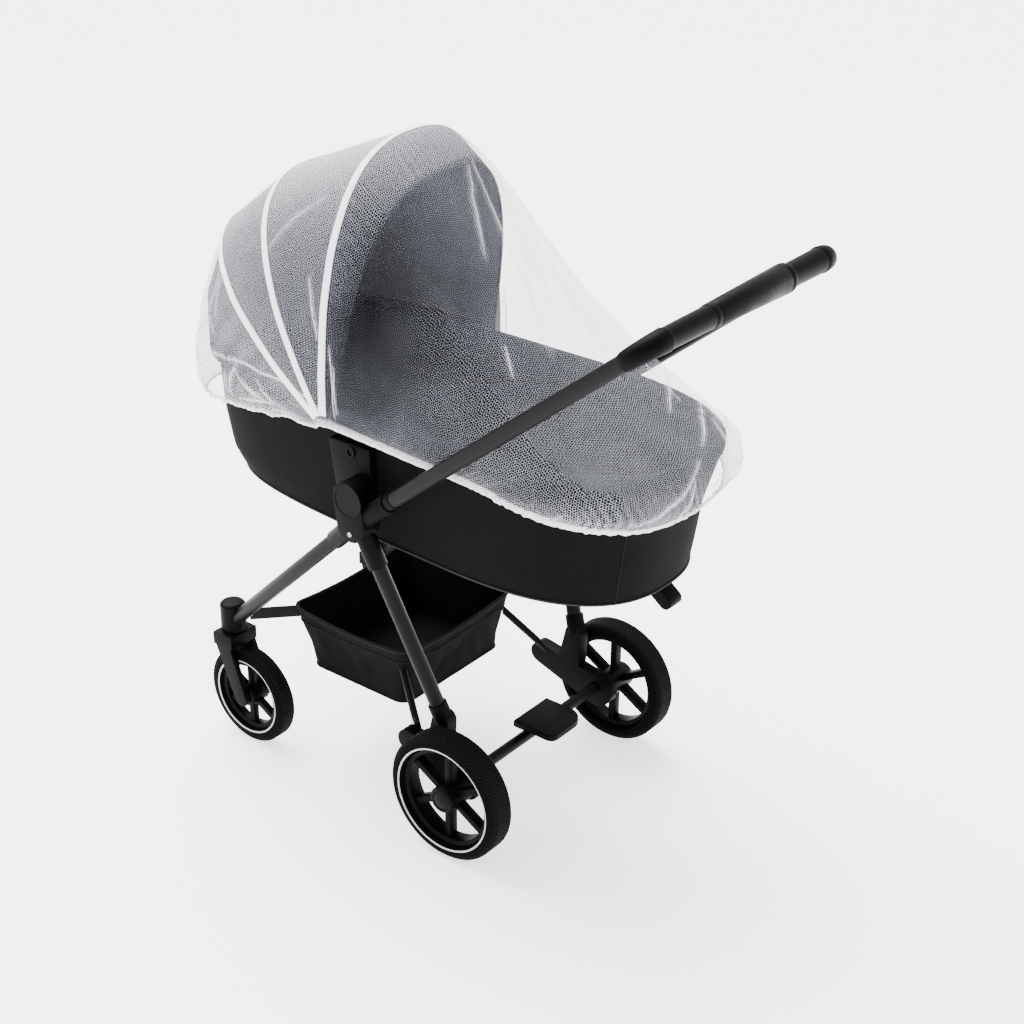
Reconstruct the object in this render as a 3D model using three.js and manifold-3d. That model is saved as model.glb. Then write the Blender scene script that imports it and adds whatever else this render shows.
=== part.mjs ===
// A fitted insect net drawn over the carrycot and hood of a pram.
//
// Millimetres, +Z up. X runs from the head end (-X) to the foot end and the push
// handle (+X). The pram stands on Z = 0 and its near side is -Y.
// The net is one sheet of tulle with an elasticated hem. Three tapes are sewn over it
// along the bows of the hood. The pram that the net fits is built plainly.

import * as THREE from 'three';
import { mergeVertices } from 'three/addons/utils/BufferGeometryUtils.js';
import Module from 'manifold-3d';

const wasm = await Module();
wasm.setup();

// Cloth and clearances
const NET_THICKNESS = 1.6;
const HEM_THICKNESS = 4;
const HOOD_THICKNESS = 3;
const TAPE_WIDTH = 12;
const TAPE_THICKNESS = 1;
const TAPE_LIFT = 0.5;
const GAP = 0.3;

// Carrycot
const COT_WIDEST_X = 120;
const COT_WALL = 10;
const COT_FLOOR = 12;
const COT_HEAD_SQUARENESS = 4.4;
const COT_FOOT_SQUARENESS = 2.5;
const RIM_WIDTH = 19;
const RIM_PROUD = 3;
const RIM_SOFTNESS = 5;

// Frame of the pram
const TUBE_RADIUS = 13;
const COLLAR_RADIUS = 16.5;
const FRAME_Y = 246;
const JOINT = { x: -10, z: 591, width: 58, height: 104, depth: 18 };
const TUBES_MEET = { x: -4, z: 572 };
const HANDLE = { x: 535, z: 1010, elbowRadius: 42, sleeveRadius: 17, sleeveLength: 6 };
const GRIP = { from: -100, to: 110, radius: 19 };
const GRIP_SIDES = 24;
const FRONT_LEG_END = { x: -358, y: 196, z: 238 };
const REAR_LEG_END = { x: 120, y: 185, z: 214 };
const REAR_WHEEL = { x: 174, y: 233, radius: 115, width: 52, hubRadius: 24 };
const AXLE = { x: 171, z: 123, radius: 10 };
const FRONT_WHEEL = { x: -328, y: 194, radius: 92.5, width: 36, hubRadius: 19 };
const SWIVEL = { x: -368, radius: 20, bottom: 214, top: 270 };
const ROUND_SIDES = 16;

const DEGREES = Math.PI / 180;
const SIDES = [
  { side: 'near', sign: -1 },
  { side: 'far', sign: 1 },
];

function finish(color, roughness, metalness = 0, opacity = 1) {
  const transparent = opacity < 1;
  const side = transparent ? THREE.DoubleSide : THREE.FrontSide;
  return new THREE.MeshStandardMaterial({ color, roughness, metalness, opacity, transparent, side });
}

const FINISHES = {
  net: () => finish(0xf4f5f8, 0.9, 0, 0.45),
  tape: () => finish(0xffffff, 0.8),
  lining: () => finish(0x2b2c33, 0.95),
  cloth: () => finish(0x17171a, 0.85),
  frame: () => finish(0x1c1c1e, 0.45, 0.3),
  plastic: () => finish(0x161617, 0.6),
  tyre: () => finish(0x121212, 0.95),
  grip: () => finish(0x0e0e0f, 0.8),
};

const pram = new THREE.Group();

function add(name, geometry, material, position = [0, 0, 0]) {
  const mesh = new THREE.Mesh(geometry, material);
  mesh.name = name;
  mesh.position.set(...position);
  pram.add(mesh);
  return mesh;
}

function mix(a, b, share) {
  return a + (b - a) * share;
}

// Closed surfaces from rows of points

function geometryFrom(points, triangles) {
  const geometry = new THREE.BufferGeometry();
  const numbers = points.flatMap((point) => point.toArray());
  geometry.setAttribute('position', new THREE.Float32BufferAttribute(numbers, 3));
  geometry.setIndex(triangles);
  geometry.computeVertexNormals();
  return geometry;
}

// Joins rings of points one after another. Either both ends are capped by a fan, or the
// last ring joins the first.
function loft(rings, capped) {
  const count = rings[0].length;
  const points = rings.flat();
  const triangles = [];
  const steps = capped ? rings.length - 1 : rings.length;
  for (let i = 0; i < steps; i += 1) {
    const low = i * count;
    const high = ((i + 1) % rings.length) * count;
    for (let j = 0; j < count; j += 1) {
      const k = (j + 1) % count;
      triangles.push(low + j, low + k, high + k, low + j, high + k, high + j);
    }
  }
  if (capped) {
    const last = (rings.length - 1) * count;
    for (const [start, forward] of [[0, false], [last, true]]) {
      const centre = new THREE.Vector3();
      for (let j = 0; j < count; j += 1) centre.addScaledVector(points[start + j], 1 / count);
      points.push(centre);
      const tip = points.length - 1;
      for (let j = 0; j < count; j += 1) {
        const a = start + j;
        const b = start + ((j + 1) % count);
        triangles.push(...(forward ? [a, b, tip] : [b, a, tip]));
      }
    }
  }
  return geometryFrom(points, triangles);
}

// Outward unit normals at the points of an open grid
function gridNormals(grid) {
  const rows = grid.length;
  const columns = grid[0].length;
  return grid.map((row, i) => row.map((_, j) => {
    const before = grid[Math.max(i - 1, 0)][j];
    const after = grid[Math.min(i + 1, rows - 1)][j];
    const left = row[Math.max(j - 1, 0)];
    const right = row[Math.min(j + 1, columns - 1)];
    const along = new THREE.Vector3().subVectors(after, before);
    const across = new THREE.Vector3().subVectors(right, left);
    return along.cross(across).normalize();
  }));
}

// A sheet of cloth: the grid is its outer face, and thickness(i, j) is taken inwards
function sheet(grid, normals, thickness) {
  const rows = grid.length;
  const columns = grid[0].length;
  const inner = grid.map((row, i) => row.map((point, j) => (
    point.clone().addScaledVector(normals[i][j], -thickness(i, j))
  )));
  const points = [...grid.flat(), ...inner.flat()];
  const below = rows * columns;
  const triangles = [];
  for (let i = 0; i + 1 < rows; i += 1) {
    for (let j = 0; j + 1 < columns; j += 1) {
      const a = i * columns + j;
      const b = a + 1;
      const c = a + columns;
      const d = c + 1;
      triangles.push(a, d, b, a, c, d);
      triangles.push(below + a, below + b, below + d, below + a, below + d, below + c);
    }
  }
  const edge = [];
  for (let j = 0; j < columns; j += 1) edge.push(j);
  for (let i = 1; i < rows; i += 1) edge.push(i * columns + columns - 1);
  for (let j = columns - 2; j >= 0; j -= 1) edge.push((rows - 1) * columns + j);
  for (let i = rows - 2; i > 0; i -= 1) edge.push(i * columns);
  edge.forEach((a, k) => {
    const b = edge[(k + 1) % edge.length];
    triangles.push(a, b, below + a, b, below + b, below + a);
  });
  return geometryFrom(points, triangles);
}

// Joins and cuts

function solid(geometry) {
  const bare = geometry.clone();
  bare.deleteAttribute('normal');
  bare.deleteAttribute('uv');
  const merged = mergeVertices(bare, 1e-3);
  return new wasm.Manifold(new wasm.Mesh({
    numProp: 3,
    vertProperties: new Float32Array(merged.attributes.position.array),
    triVerts: new Uint32Array(merged.index.array),
  }));
}

function geometryOf(manifold) {
  const mesh = manifold.getMesh();
  const geometry = new THREE.BufferGeometry();
  geometry.setAttribute('position', new THREE.BufferAttribute(new Float32Array(mesh.vertProperties), 3));
  geometry.setIndex(new THREE.BufferAttribute(new Uint32Array(mesh.triVerts), 1));
  geometry.computeVertexNormals();
  return geometry;
}

function fuse(geometries) {
  return geometryOf(geometries.map(solid).reduce((whole, piece) => whole.add(piece)));
}

function cutAway(geometry, tools) {
  return geometryOf(tools.map(solid).reduce((rest, tool) => rest.subtract(tool), solid(geometry)));
}

// Tubes, plates and wheels

function tube(from, to, radius, endRadius = radius) {
  const start = new THREE.Vector3(from.x, from.y, from.z);
  const run = new THREE.Vector3(to.x, to.y, to.z).sub(start);
  const geometry = new THREE.CylinderGeometry(endRadius, radius, run.length(), ROUND_SIDES);
  const upright = new THREE.Vector3(0, 1, 0);
  const turn = new THREE.Quaternion().setFromUnitVectors(upright, run.clone().normalize());
  geometry.applyQuaternion(turn);
  const middle = start.addScaledVector(run, 0.5);
  return geometry.translate(middle.x, middle.y, middle.z);
}

function between(from, to, share) {
  return { x: mix(from.x, to.x, share), y: mix(from.y, to.y, share), z: mix(from.z, to.z, share) };
}

function distance(from, to) {
  return Math.hypot(to.x - from.x, to.y - from.y, to.z - from.z);
}

function pointAlong(from, to, reach) {
  return between(from, to, reach / distance(from, to));
}

const ARC_STEPS = 6;

// A plate in the XZ plane from y0 to y1, given by its outline
function plate(shape, y0, y1) {
  const low = Math.min(y0, y1);
  const settings = { depth: Math.abs(y1 - y0), bevelEnabled: false, curveSegments: ARC_STEPS };
  const geometry = new THREE.ExtrudeGeometry(shape, settings);
  geometry.rotateX(Math.PI / 2);
  return geometry.translate(0, low + Math.abs(y1 - y0), 0);
}

function outline(points) {
  return new THREE.Shape(points.map(([x, z]) => new THREE.Vector2(x, z)));
}

// Two circles and the straight sides that touch both
function bar(a, b, radiusA, radiusB = radiusA) {
  const heading = Math.atan2(b.z - a.z, b.x - a.x);
  const spread = Math.acos((radiusA - radiusB) / Math.hypot(b.x - a.x, b.z - a.z));
  const shape = new THREE.Shape();
  shape.absarc(a.x, a.z, radiusA, heading + spread, heading - spread + 2 * Math.PI, false);
  shape.absarc(b.x, b.z, radiusB, heading - spread, heading + spread, false);
  return shape;
}

// The cloth's cross-sections. Each is a U that starts beside the rim at (x, z), leans by
// angle (180 lies at the head, 90 stands up, 0 lies at the foot), reaches height along
// that lean and is twice halfWidth wide at its base.
const NET_SECTIONS = [
  { name: 'head hem', x: -118, z: 696, angle: 186, height: 338, halfWidth: 216, squareness: 4.4 },
  { name: 'head skirt', x: -114, z: 698, angle: 180, height: 364, halfWidth: 219, squareness: 4.2 },
  { name: 'head seam', x: -108, z: 700, angle: 173, height: 386, halfWidth: 221, squareness: 3.6 },
  { name: 'head panel', x: -104, z: 701, angle: 160, height: 406, halfWidth: 221, squareness: 2.9 },
  { name: 'rear bow', x: -100, z: 702, angle: 145.4, height: 424, halfWidth: 221, squareness: 2.5 },
  { name: 'middle bow', x: -99, z: 702, angle: 122.4, height: 408, halfWidth: 223, squareness: 2.5 },
  { name: 'main bow', x: -98, z: 702, angle: 90, height: 437, halfWidth: 223, squareness: 2.5 },
  { name: 'visor', x: -86, z: 701, angle: 80, height: 406, halfWidth: 219, squareness: 2.6 },
  { name: 'front span', x: 20, z: 697, angle: 60, height: 278, halfWidth: 221, squareness: 2.5 },
  { name: 'middle span', x: 120, z: 692, angle: 42, height: 225, halfWidth: 221, squareness: 2.5 },
  { name: 'foot span', x: 196, z: 687, angle: 25, height: 224, halfWidth: 220, squareness: 2.5 },
  { name: 'foot shoulder', x: 232, z: 683, angle: 13, height: 264, halfWidth: 218, squareness: 2.4 },
  { name: 'foot wrap', x: 246, z: 680, angle: 1, height: 252, halfWidth: 217, squareness: 2.4 },
  { name: 'foot hem', x: 250, z: 676, angle: -8, height: 222, halfWidth: 215, squareness: 2.4 },
];
const NET_STEPS_BETWEEN = 3;
const NET_COLUMNS = 34;
const NET_ROUNDNESS = 0.5;
const EDGE_CROWDING = 0.35;

// The hood follows the bows inside the net. Its legs are left off below its seat on the
// rim: clip is how far along the lean each section begins.
const HOOD_SEAT_Z = 738.8;
const HOOD_SECTIONS = [
  {
    name: 'lower edge', x: -108, z: HOOD_SEAT_Z, angle: 180, height: 336,
    halfWidth: 211, squareness: 3.6, clip: 150,
  },
  {
    name: 'rear panel', x: -104, z: 701, angle: 160, height: 385,
    halfWidth: 214, squareness: 2.9, clip: 110.6,
  },
  {
    name: 'rear bow', x: -100, z: 702, angle: 145.4, height: 421.8,
    halfWidth: 214, squareness: 2.5, clip: 64.8,
  },
  {
    name: 'middle bow', x: -99, z: 702, angle: 122.4, height: 405.8,
    halfWidth: 214, squareness: 2.5, clip: 43.6,
  },
  {
    name: 'main bow', x: -98, z: 702, angle: 90, height: 434.8,
    halfWidth: 214, squareness: 2.5, clip: 36.8,
  },
  {
    name: 'front edge', x: -96, z: 702, angle: 80, height: 396,
    halfWidth: 199, squareness: 2.8, clip: 37.4,
  },
];
const HOOD_STEPS_BETWEEN = 3;
const HOOD_COLUMNS = 24;
const HOOD_ROUNDNESS = 0.36;

function sectionPoint(section, share) {
  const start = Math.asin(((section.clip ?? 0) / section.height) ** (section.squareness / 2));
  const crowded = share - (EDGE_CROWDING * Math.sin(4 * Math.PI * share)) / (4 * Math.PI);
  const turn = mix(start, Math.PI - start, crowded);
  const power = 2 / section.squareness;
  const across = Math.sign(Math.cos(turn)) * Math.abs(Math.cos(turn)) ** power;
  const rise = section.height * Math.max(Math.sin(turn), 0) ** power;
  const lean = section.angle * DEGREES;
  return new THREE.Vector3(
    section.x + rise * Math.cos(lean),
    -section.halfWidth * across,
    section.z + rise * Math.sin(lean),
  );
}

// The sections joined by Hermite curves. Roundness 1 is a full Catmull-Rom curve, and
// less of it pulls the cloth taut from one bow to the next.
function clothGrid(sections, stepsBetween, columns, roundness) {
  const grid = [];
  const last = sections.length - 1;
  for (let row = 0; row <= last * stepsBetween; row += 1) {
    const k = Math.min(Math.floor(row / stepsBetween), last - 1);
    const s = row / stepsBetween - k;
    const line = [];
    for (let j = 0; j <= columns; j += 1) {
      const at = (n) => sectionPoint(sections[THREE.MathUtils.clamp(n, 0, last)], j / columns);
      const [before, start, end, after] = [at(k - 1), at(k), at(k + 1), at(k + 2)];
      const leaving = end.clone().sub(before).multiplyScalar(roundness / 2);
      const arriving = after.clone().sub(start).multiplyScalar(roundness / 2);
      line.push(new THREE.Vector3()
        .addScaledVector(start, 2 * s ** 3 - 3 * s ** 2 + 1)
        .addScaledVector(leaving, s ** 3 - 2 * s ** 2 + s)
        .addScaledVector(end, 3 * s ** 2 - 2 * s ** 3)
        .addScaledVector(arriving, s ** 3 - s ** 2));
    }
    grid.push(line);
  }
  return grid;
}

// Creases drawn in by the elastic. Each runs from (fromSection, fromShare) to (toSection,
// toShare): a place along NET_SECTIONS and a share of the way over from the near side.
const CREASES = [
  { fromSection: 11.9, fromShare: 0.36, toSection: 9.6, toShare: 0.46, height: 7, width: 0.035 },
  { fromSection: 12.4, fromShare: 0.30, toSection: 10.4, toShare: 0.33, height: 6, width: 0.03 },
  { fromSection: 12.2, fromShare: 0.46, toSection: 10.2, toShare: 0.58, height: 7, width: 0.035 },
  { fromSection: 12.3, fromShare: 0.64, toSection: 10.0, toShare: 0.70, height: 6, width: 0.035 },
  { fromSection: 7.1, fromShare: 0.40, toSection: 9.8, toShare: 0.30, height: 5, width: 0.03 },
  { fromSection: 7.1, fromShare: 0.55, toSection: 9.9, toShare: 0.66, height: 5, width: 0.03 },
  { fromSection: 0.4, fromShare: 0.24, toSection: 2.4, toShare: 0.20, height: 6, width: 0.03 },
  { fromSection: 0.3, fromShare: 0.40, toSection: 2.6, toShare: 0.43, height: 7, width: 0.03 },
  { fromSection: 0.4, fromShare: 0.56, toSection: 2.3, toShare: 0.52, height: 6, width: 0.03 },
  { fromSection: 0.3, fromShare: 0.74, toSection: 2.5, toShare: 0.78, height: 6, width: 0.03 },
];
const SECTION_TO_SHARE = 0.05;

function creaseHeight(section, share) {
  let height = 0;
  for (const crease of CREASES) {
    const runX = (crease.toSection - crease.fromSection) * SECTION_TO_SHARE;
    const runY = crease.toShare - crease.fromShare;
    const x = (section - crease.fromSection) * SECTION_TO_SHARE;
    const y = share - crease.fromShare;
    const along = THREE.MathUtils.clamp((x * runX + y * runY) / (runX * runX + runY * runY), 0, 1);
    const away = Math.hypot(x - along * runX, y - along * runY) / crease.width;
    height += crease.height * Math.sin(Math.PI * mix(0.12, 0.88, along)) * Math.exp(-away * away);
  }
  return height;
}

function makeNet() {
  const smooth = clothGrid(NET_SECTIONS, NET_STEPS_BETWEEN, NET_COLUMNS, NET_ROUNDNESS);
  const smoothNormals = gridNormals(smooth);
  const grid = smooth.map((row, i) => row.map((point, j) => (
    point.addScaledVector(smoothNormals[i][j], creaseHeight(i / NET_STEPS_BETWEEN, j / NET_COLUMNS))
  )));
  return { grid, normals: gridNormals(grid) };
}

const net = makeNet();

function netThickness(i, j) {
  const atHem = i === 0 || i === net.grid.length - 1 || j === 0 || j === NET_COLUMNS;
  return atHem ? HEM_THICKNESS : NET_THICKNESS;
}

// A tape lies on the net along one bow and ends a little above the hem
function tape(sectionName) {
  const row = NET_SECTIONS.findIndex((section) => section.name === sectionName) * NET_STEPS_BETWEEN;
  const first = 1;
  const strip = [-1, 0, 1].map((side) => {
    const line = [];
    for (let j = first; j <= NET_COLUMNS - first; j += 1) {
      const centre = net.grid[row][j];
      const beside = net.grid[row + side][j];
      const reach = centre.distanceTo(beside);
      const share = reach > 0 ? Math.min(TAPE_WIDTH / 2 / reach, 1) : 0;
      const lift = TAPE_LIFT + TAPE_THICKNESS;
      line.push(centre.clone().lerp(beside, share).addScaledVector(net.normals[row][j], lift));
    }
    return line;
  });
  return sheet(strip, gridNormals(strip), () => TAPE_THICKNESS);
}

function buildCloth() {
  add('net', sheet(net.grid, net.normals, netThickness), FINISHES.net());
  for (const place of ['rear', 'middle', 'main']) {
    add(`tape_${place}`, tape(`${place} bow`), FINISHES.tape());
  }
  const grid = clothGrid(HOOD_SECTIONS, HOOD_STEPS_BETWEEN, HOOD_COLUMNS, HOOD_ROUNDNESS);
  add('hood', sheet(grid, gridNormals(grid), () => HOOD_THICKNESS), FINISHES.lining());
}

// The carrycot's outer wall, level by level. Each level slopes from headZ to footZ.
const COT_LEVELS = [
  { name: 'underside', headZ: 524, footZ: 494, head: -378, foot: 417, halfWidth: 190 },
  { name: 'piping', headZ: 530, footZ: 500, head: -394, foot: 427, halfWidth: 197 },
  { name: 'lower wall', headZ: 564, footZ: 540, head: -422, foot: 433, halfWidth: 201 },
  { name: 'middle wall', headZ: 632, footZ: 620, head: -436, foot: 446, halfWidth: 205 },
  { name: 'wall top', headZ: 720, footZ: 720, head: -440, foot: 478, halfWidth: 208 },
];
const COT_STEPS = 40;
const RIM_TOP_Z = 738;

// A ring round the cot at a level, drawn in by inset and raised by lift
function planRing(level, inset = 0, lift = 0) {
  const ring = [];
  for (let j = 0; j < COT_STEPS; j += 1) {
    const turn = (2 * Math.PI * j) / COT_STEPS;
    const headwards = Math.cos(turn) < 0;
    const reach = headwards ? COT_WIDEST_X - level.head : level.foot - COT_WIDEST_X;
    const power = 2 / (headwards ? COT_HEAD_SQUARENESS : COT_FOOT_SQUARENESS);
    const along = Math.sign(Math.cos(turn)) * Math.abs(Math.cos(turn)) ** power;
    const across = Math.sign(Math.sin(turn)) * Math.abs(Math.sin(turn)) ** power;
    const x = COT_WIDEST_X + (reach - inset) * along;
    const slope = (x - level.head) / (level.foot - level.head);
    const y = (level.halfWidth - inset) * across;
    ring.push(new THREE.Vector3(x, y, mix(level.headZ, level.footZ, slope) + lift));
  }
  return ring;
}

function buildCot() {
  const [underside, , lower, middle, top] = COT_LEVELS;
  add('cot_shell', loft([
    ...COT_LEVELS.map((level) => planRing(level)),
    planRing(top, COT_WALL),
    planRing(middle, COT_WALL),
    planRing(lower, COT_WALL),
    planRing(underside, COT_WALL, COT_FLOOR),
  ], true), FINISHES.cloth());

  const depth = RIM_TOP_Z - top.headZ;
  const outer = -RIM_PROUD;
  const inner = outer + RIM_WIDTH;
  add('cot_rim', loft([
    planRing(top, outer, GAP),
    planRing(top, outer, depth - RIM_SOFTNESS),
    planRing(top, outer + RIM_SOFTNESS, depth),
    planRing(top, inner - RIM_SOFTNESS, depth),
    planRing(top, inner, depth - RIM_SOFTNESS),
    planRing(top, inner, GAP),
  ], false), FINISHES.lining());
}

// The rubber foot under the foot end
const COT_FOOT = { x: 398, z: 482.2, reach: 24, drop: 18, radius: 12, y0: 2, y1: 36 };

function buildCotFoot() {
  const { x, z, reach, drop, radius, y0, y1 } = COT_FOOT;
  add('cot_foot', plate(bar({ x, z }, { x: x + reach, z: z - drop }, radius), y0, y1), FINISHES.plastic());
}

// The adapter holds the cot in the frame's joint
const ADAPTER = { y0: 207.3, y1: 224, top: 688, bottom: 566, topHalf: 44, bottomHalf: 24, x: -42 };

function buildAdapter(side, sign) {
  const { x, top, bottom, topHalf, bottomHalf } = ADAPTER;
  const shape = outline([
    [x - topHalf, top], [x - bottomHalf, bottom], [x + bottomHalf + 22, bottom], [x + topHalf, top],
  ]);
  add(`adapter_${side}`, plate(shape, sign * ADAPTER.y0, sign * ADAPTER.y1), FINISHES.plastic());
}

// The three tubes that meet at each joint of the frame
function frameTubes(sign) {
  const joint = { x: TUBES_MEET.x, y: sign * FRAME_Y, z: TUBES_MEET.z };
  return {
    arm: { from: joint, to: { x: HANDLE.x, y: sign * FRAME_Y, z: HANDLE.z } },
    frontLeg: { from: joint, to: { x: FRONT_LEG_END.x, y: sign * FRONT_LEG_END.y, z: FRONT_LEG_END.z } },
    rearLeg: { from: joint, to: { x: REAR_LEG_END.x, y: sign * REAR_LEG_END.y, z: REAR_LEG_END.z } },
  };
}

const COLLAR_END = 84;

function buildJoint(side, sign) {
  const { x, z, width, height, depth } = JOINT;
  const radius = width / 2;
  const reach = height / 2 - radius;
  const disc = bar({ x: x - 3, z: z + reach }, { x: x + 3, z: z - reach }, radius);
  const inner = ADAPTER.y1 + GAP;
  const collars = Object.values(frameTubes(sign)).map(({ from, to }) => (
    tube(pointAlong(from, to, 10), pointAlong(from, to, COLLAR_END), COLLAR_RADIUS)
  ));
  const body = plate(disc, sign * inner, sign * (FRAME_Y + depth));
  add(`joint_${side}`, fuse([body, ...collars]), FINISHES.plastic());
}

function buildArm(side, sign) {
  const { from, to } = frameTubes(sign).arm;
  const length = distance(from, to);
  const start = pointAlong(from, to, COLLAR_END + GAP);
  const end = pointAlong(from, to, length - HANDLE.elbowRadius - HANDLE.sleeveLength);
  add(`arm_${side}`, tube(start, end, TUBE_RADIUS), FINISHES.frame());
}

// Each elbow is a quarter bend that joins an arm to the crossbar
function buildElbow(side, sign) {
  const { from, to } = frameTubes(sign).arm;
  const corner = new THREE.Vector3(to.x, to.y, to.z);
  const back = new THREE.Vector3(from.x, from.y, from.z).sub(corner).normalize();
  const inward = new THREE.Vector3(0, -sign, 0);
  const start = corner.clone().addScaledVector(back, HANDLE.elbowRadius + HANDLE.sleeveLength - GAP);
  const bendStart = corner.clone().addScaledVector(back, HANDLE.elbowRadius);
  const bendEnd = corner.clone().addScaledVector(inward, HANDLE.elbowRadius);
  const path = new THREE.CurvePath();
  path.add(new THREE.LineCurve3(start, bendStart));
  path.add(new THREE.QuadraticBezierCurve3(bendStart, corner, bendEnd));
  const ring = new THREE.Shape();
  ring.absarc(0, 0, HANDLE.sleeveRadius, 0, 2 * Math.PI, false);
  const settings = { extrudePath: path, steps: 9, curveSegments: 8, bevelEnabled: false };
  add(`elbow_${side}`, new THREE.ExtrudeGeometry(ring, settings), FINISHES.plastic());
}

function lathe(profile, sides) {
  return new THREE.LatheGeometry(profile.map(([r, y]) => new THREE.Vector2(r, y)), sides);
}

function buildCrossbar() {
  const half = FRAME_Y - HANDLE.elbowRadius - GAP;
  const place = (y) => ({ x: HANDLE.x, y, z: HANDLE.z });
  add('crossbar', tube(place(-half), place(half), TUBE_RADIUS), FINISHES.frame());
  const length = GRIP.to - GRIP.from;
  const bore = (TUBE_RADIUS + GAP) / Math.cos(Math.PI / GRIP_SIDES);
  const soft = 3;
  const profile = [
    [bore, 0], [GRIP.radius - soft, 0], [GRIP.radius, soft],
    [GRIP.radius, length - soft], [GRIP.radius - soft, length], [bore, length], [bore, 0],
  ];
  add('grip', lathe(profile, GRIP_SIDES), FINISHES.grip(), [HANDLE.x, GRIP.from, HANDLE.z]);
}

// The swivel housing that carries a front fork
function swivelHousing(sign, growth = 0) {
  const foot = { x: SWIVEL.x, y: sign * FRONT_WHEEL.y, z: SWIVEL.bottom - growth };
  const head = { ...foot, z: SWIVEL.top + growth };
  return tube(foot, head, SWIVEL.radius + growth);
}

function buildFrontLeg(side, sign) {
  const { from, to } = frameTubes(sign).frontLeg;
  const leg = tube(pointAlong(from, to, COLLAR_END + GAP), to, TUBE_RADIUS);
  add(`front_leg_${side}`, cutAway(leg, [swivelHousing(sign, GAP)]), FINISHES.frame());
  add(`swivel_${side}`, swivelHousing(sign), FINISHES.plastic());
}

// The rear leg ends in a socket on a trailing plate that reaches back to the axle
const REAR_SOCKET_LENGTH = 34;
const REAR_PLATE_HALF = 12;

function buildRearLeg(side, sign) {
  const { from, to } = frameTubes(sign).rearLeg;
  const length = distance(from, to);
  const end = pointAlong(from, to, length - REAR_SOCKET_LENGTH);
  add(`rear_leg_${side}`, tube(pointAlong(from, to, COLLAR_END + GAP), end, TUBE_RADIUS), FINISHES.frame());

  const hub = { x: REAR_WHEEL.x, z: REAR_WHEEL.radius };
  const y0 = sign * (REAR_LEG_END.y - REAR_PLATE_HALF);
  const y1 = sign * (REAR_LEG_END.y + REAR_PLATE_HALF);
  const socketTop = pointAlong(from, to, length - REAR_SOCKET_LENGTH + GAP);
  add(`rear_bracket_${side}`, fuse([
    tube(socketTop, to, COLLAR_RADIUS),
    plate(bar({ x: to.x, z: to.z + 2 }, { x: 112, z: 160 }, 17, 22), y0, y1),
    plate(bar({ x: 46, z: 148 }, hub, 20, 30), y0, y1),
  ]), FINISHES.plastic());
}

function buildAxle() {
  const half = REAR_LEG_END.y - REAR_PLATE_HALF - GAP;
  const place = (y) => ({ x: AXLE.x, y, z: AXLE.z });
  add('axle', tube(place(-half), place(half), AXLE.radius), FINISHES.frame());
}

// The brake pedal is a paddle that stands on a saddle over the axle
const PEDAL = { y0: -46, y1: 48, nose: -14, heel: 72, thickness: 13, cornerRadius: 16 };
const PEDAL_SADDLE = { width: 44, height: 14 };

function buildPedal() {
  const { y0, y1, nose, heel, thickness, cornerRadius } = PEDAL;
  const saddle = PEDAL_SADDLE.height;
  const seat = AXLE.z + AXLE.radius + GAP;
  const shape = new THREE.Shape();
  shape.moveTo(nose, y0);
  shape.lineTo(heel - cornerRadius, y0);
  shape.absarc(heel - cornerRadius, y0 + cornerRadius, cornerRadius, -Math.PI / 2, 0, false);
  shape.absarc(heel - cornerRadius * 2, y1 - cornerRadius * 2, cornerRadius * 2, 0, Math.PI / 2, false);
  shape.lineTo(nose, y1);
  const settings = { depth: thickness, bevelEnabled: false, curveSegments: ARC_STEPS };
  const paddle = new THREE.ExtrudeGeometry(shape, settings);
  paddle.translate(AXLE.x, 0, seat + saddle - 2);
  const foot = new THREE.BoxGeometry(AXLE.radius * 2, PEDAL_SADDLE.width, saddle);
  foot.translate(AXLE.x, (y0 + y1) / 2, seat + saddle / 2);
  add('brake_pedal', fuse([paddle, foot]), FINISHES.plastic());
}

// The fork: a crown over the wheel and a blade on each face of it
function buildFork(side, sign) {
  const crown = { x: SWIVEL.x, z: FRONT_WHEEL.radius * 2 + 9 };
  const hub = { x: FRONT_WHEEL.x, z: FRONT_WHEEL.radius };
  const clear = FRONT_WHEEL.width / 2 + 3;
  const blade = 11;
  const y = sign * FRONT_WHEEL.y;
  const foot = { x: SWIVEL.x, y, z: crown.z };
  const head = { ...foot, z: SWIVEL.bottom - GAP };
  add(`fork_${side}`, fuse([
    plate(bar(crown, hub, 17, 14), y - clear - blade, y - clear),
    plate(bar(crown, hub, 17, 14), y + clear, y + clear + blade),
    plate(outline([
      [crown.x - 22, crown.z - 5], [crown.x + 24, crown.z - 5],
      [crown.x + 24, head.z], [crown.x - 22, head.z],
    ]), y - clear - blade, y + clear + blade),
  ]), FINISHES.plastic());
}

// A tyre's section, turned about its axle. Its facets are set so that one lies level on
// the ground.
const TYRE_SIDES = 30;

function tyre({ radius, width }, bore) {
  const half = width / 2;
  const tread = radius / Math.cos(Math.PI / TYRE_SIDES);
  const profile = [
    [bore, -half + 3], [tread - 14, -half], [tread - 4, -half + 6], [tread, -half * 0.45],
    [tread, half * 0.45], [tread - 4, half - 6], [tread - 14, half], [bore, half - 3],
    [bore, -half + 3],
  ];
  return lathe(profile, TYRE_SIDES).rotateY(Math.PI / TYRE_SIDES);
}

const SPOKES = 6;
const SPOKE_HALF_WIDTH = 6;
const RIM_BAND = 9;

function arc(radius, from, to, steps) {
  return Array.from({ length: steps + 1 }, (_, k) => {
    const turn = mix(from, to, k / steps);
    return new THREE.Vector2(radius * Math.cos(turn), radius * Math.sin(turn));
  });
}

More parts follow.
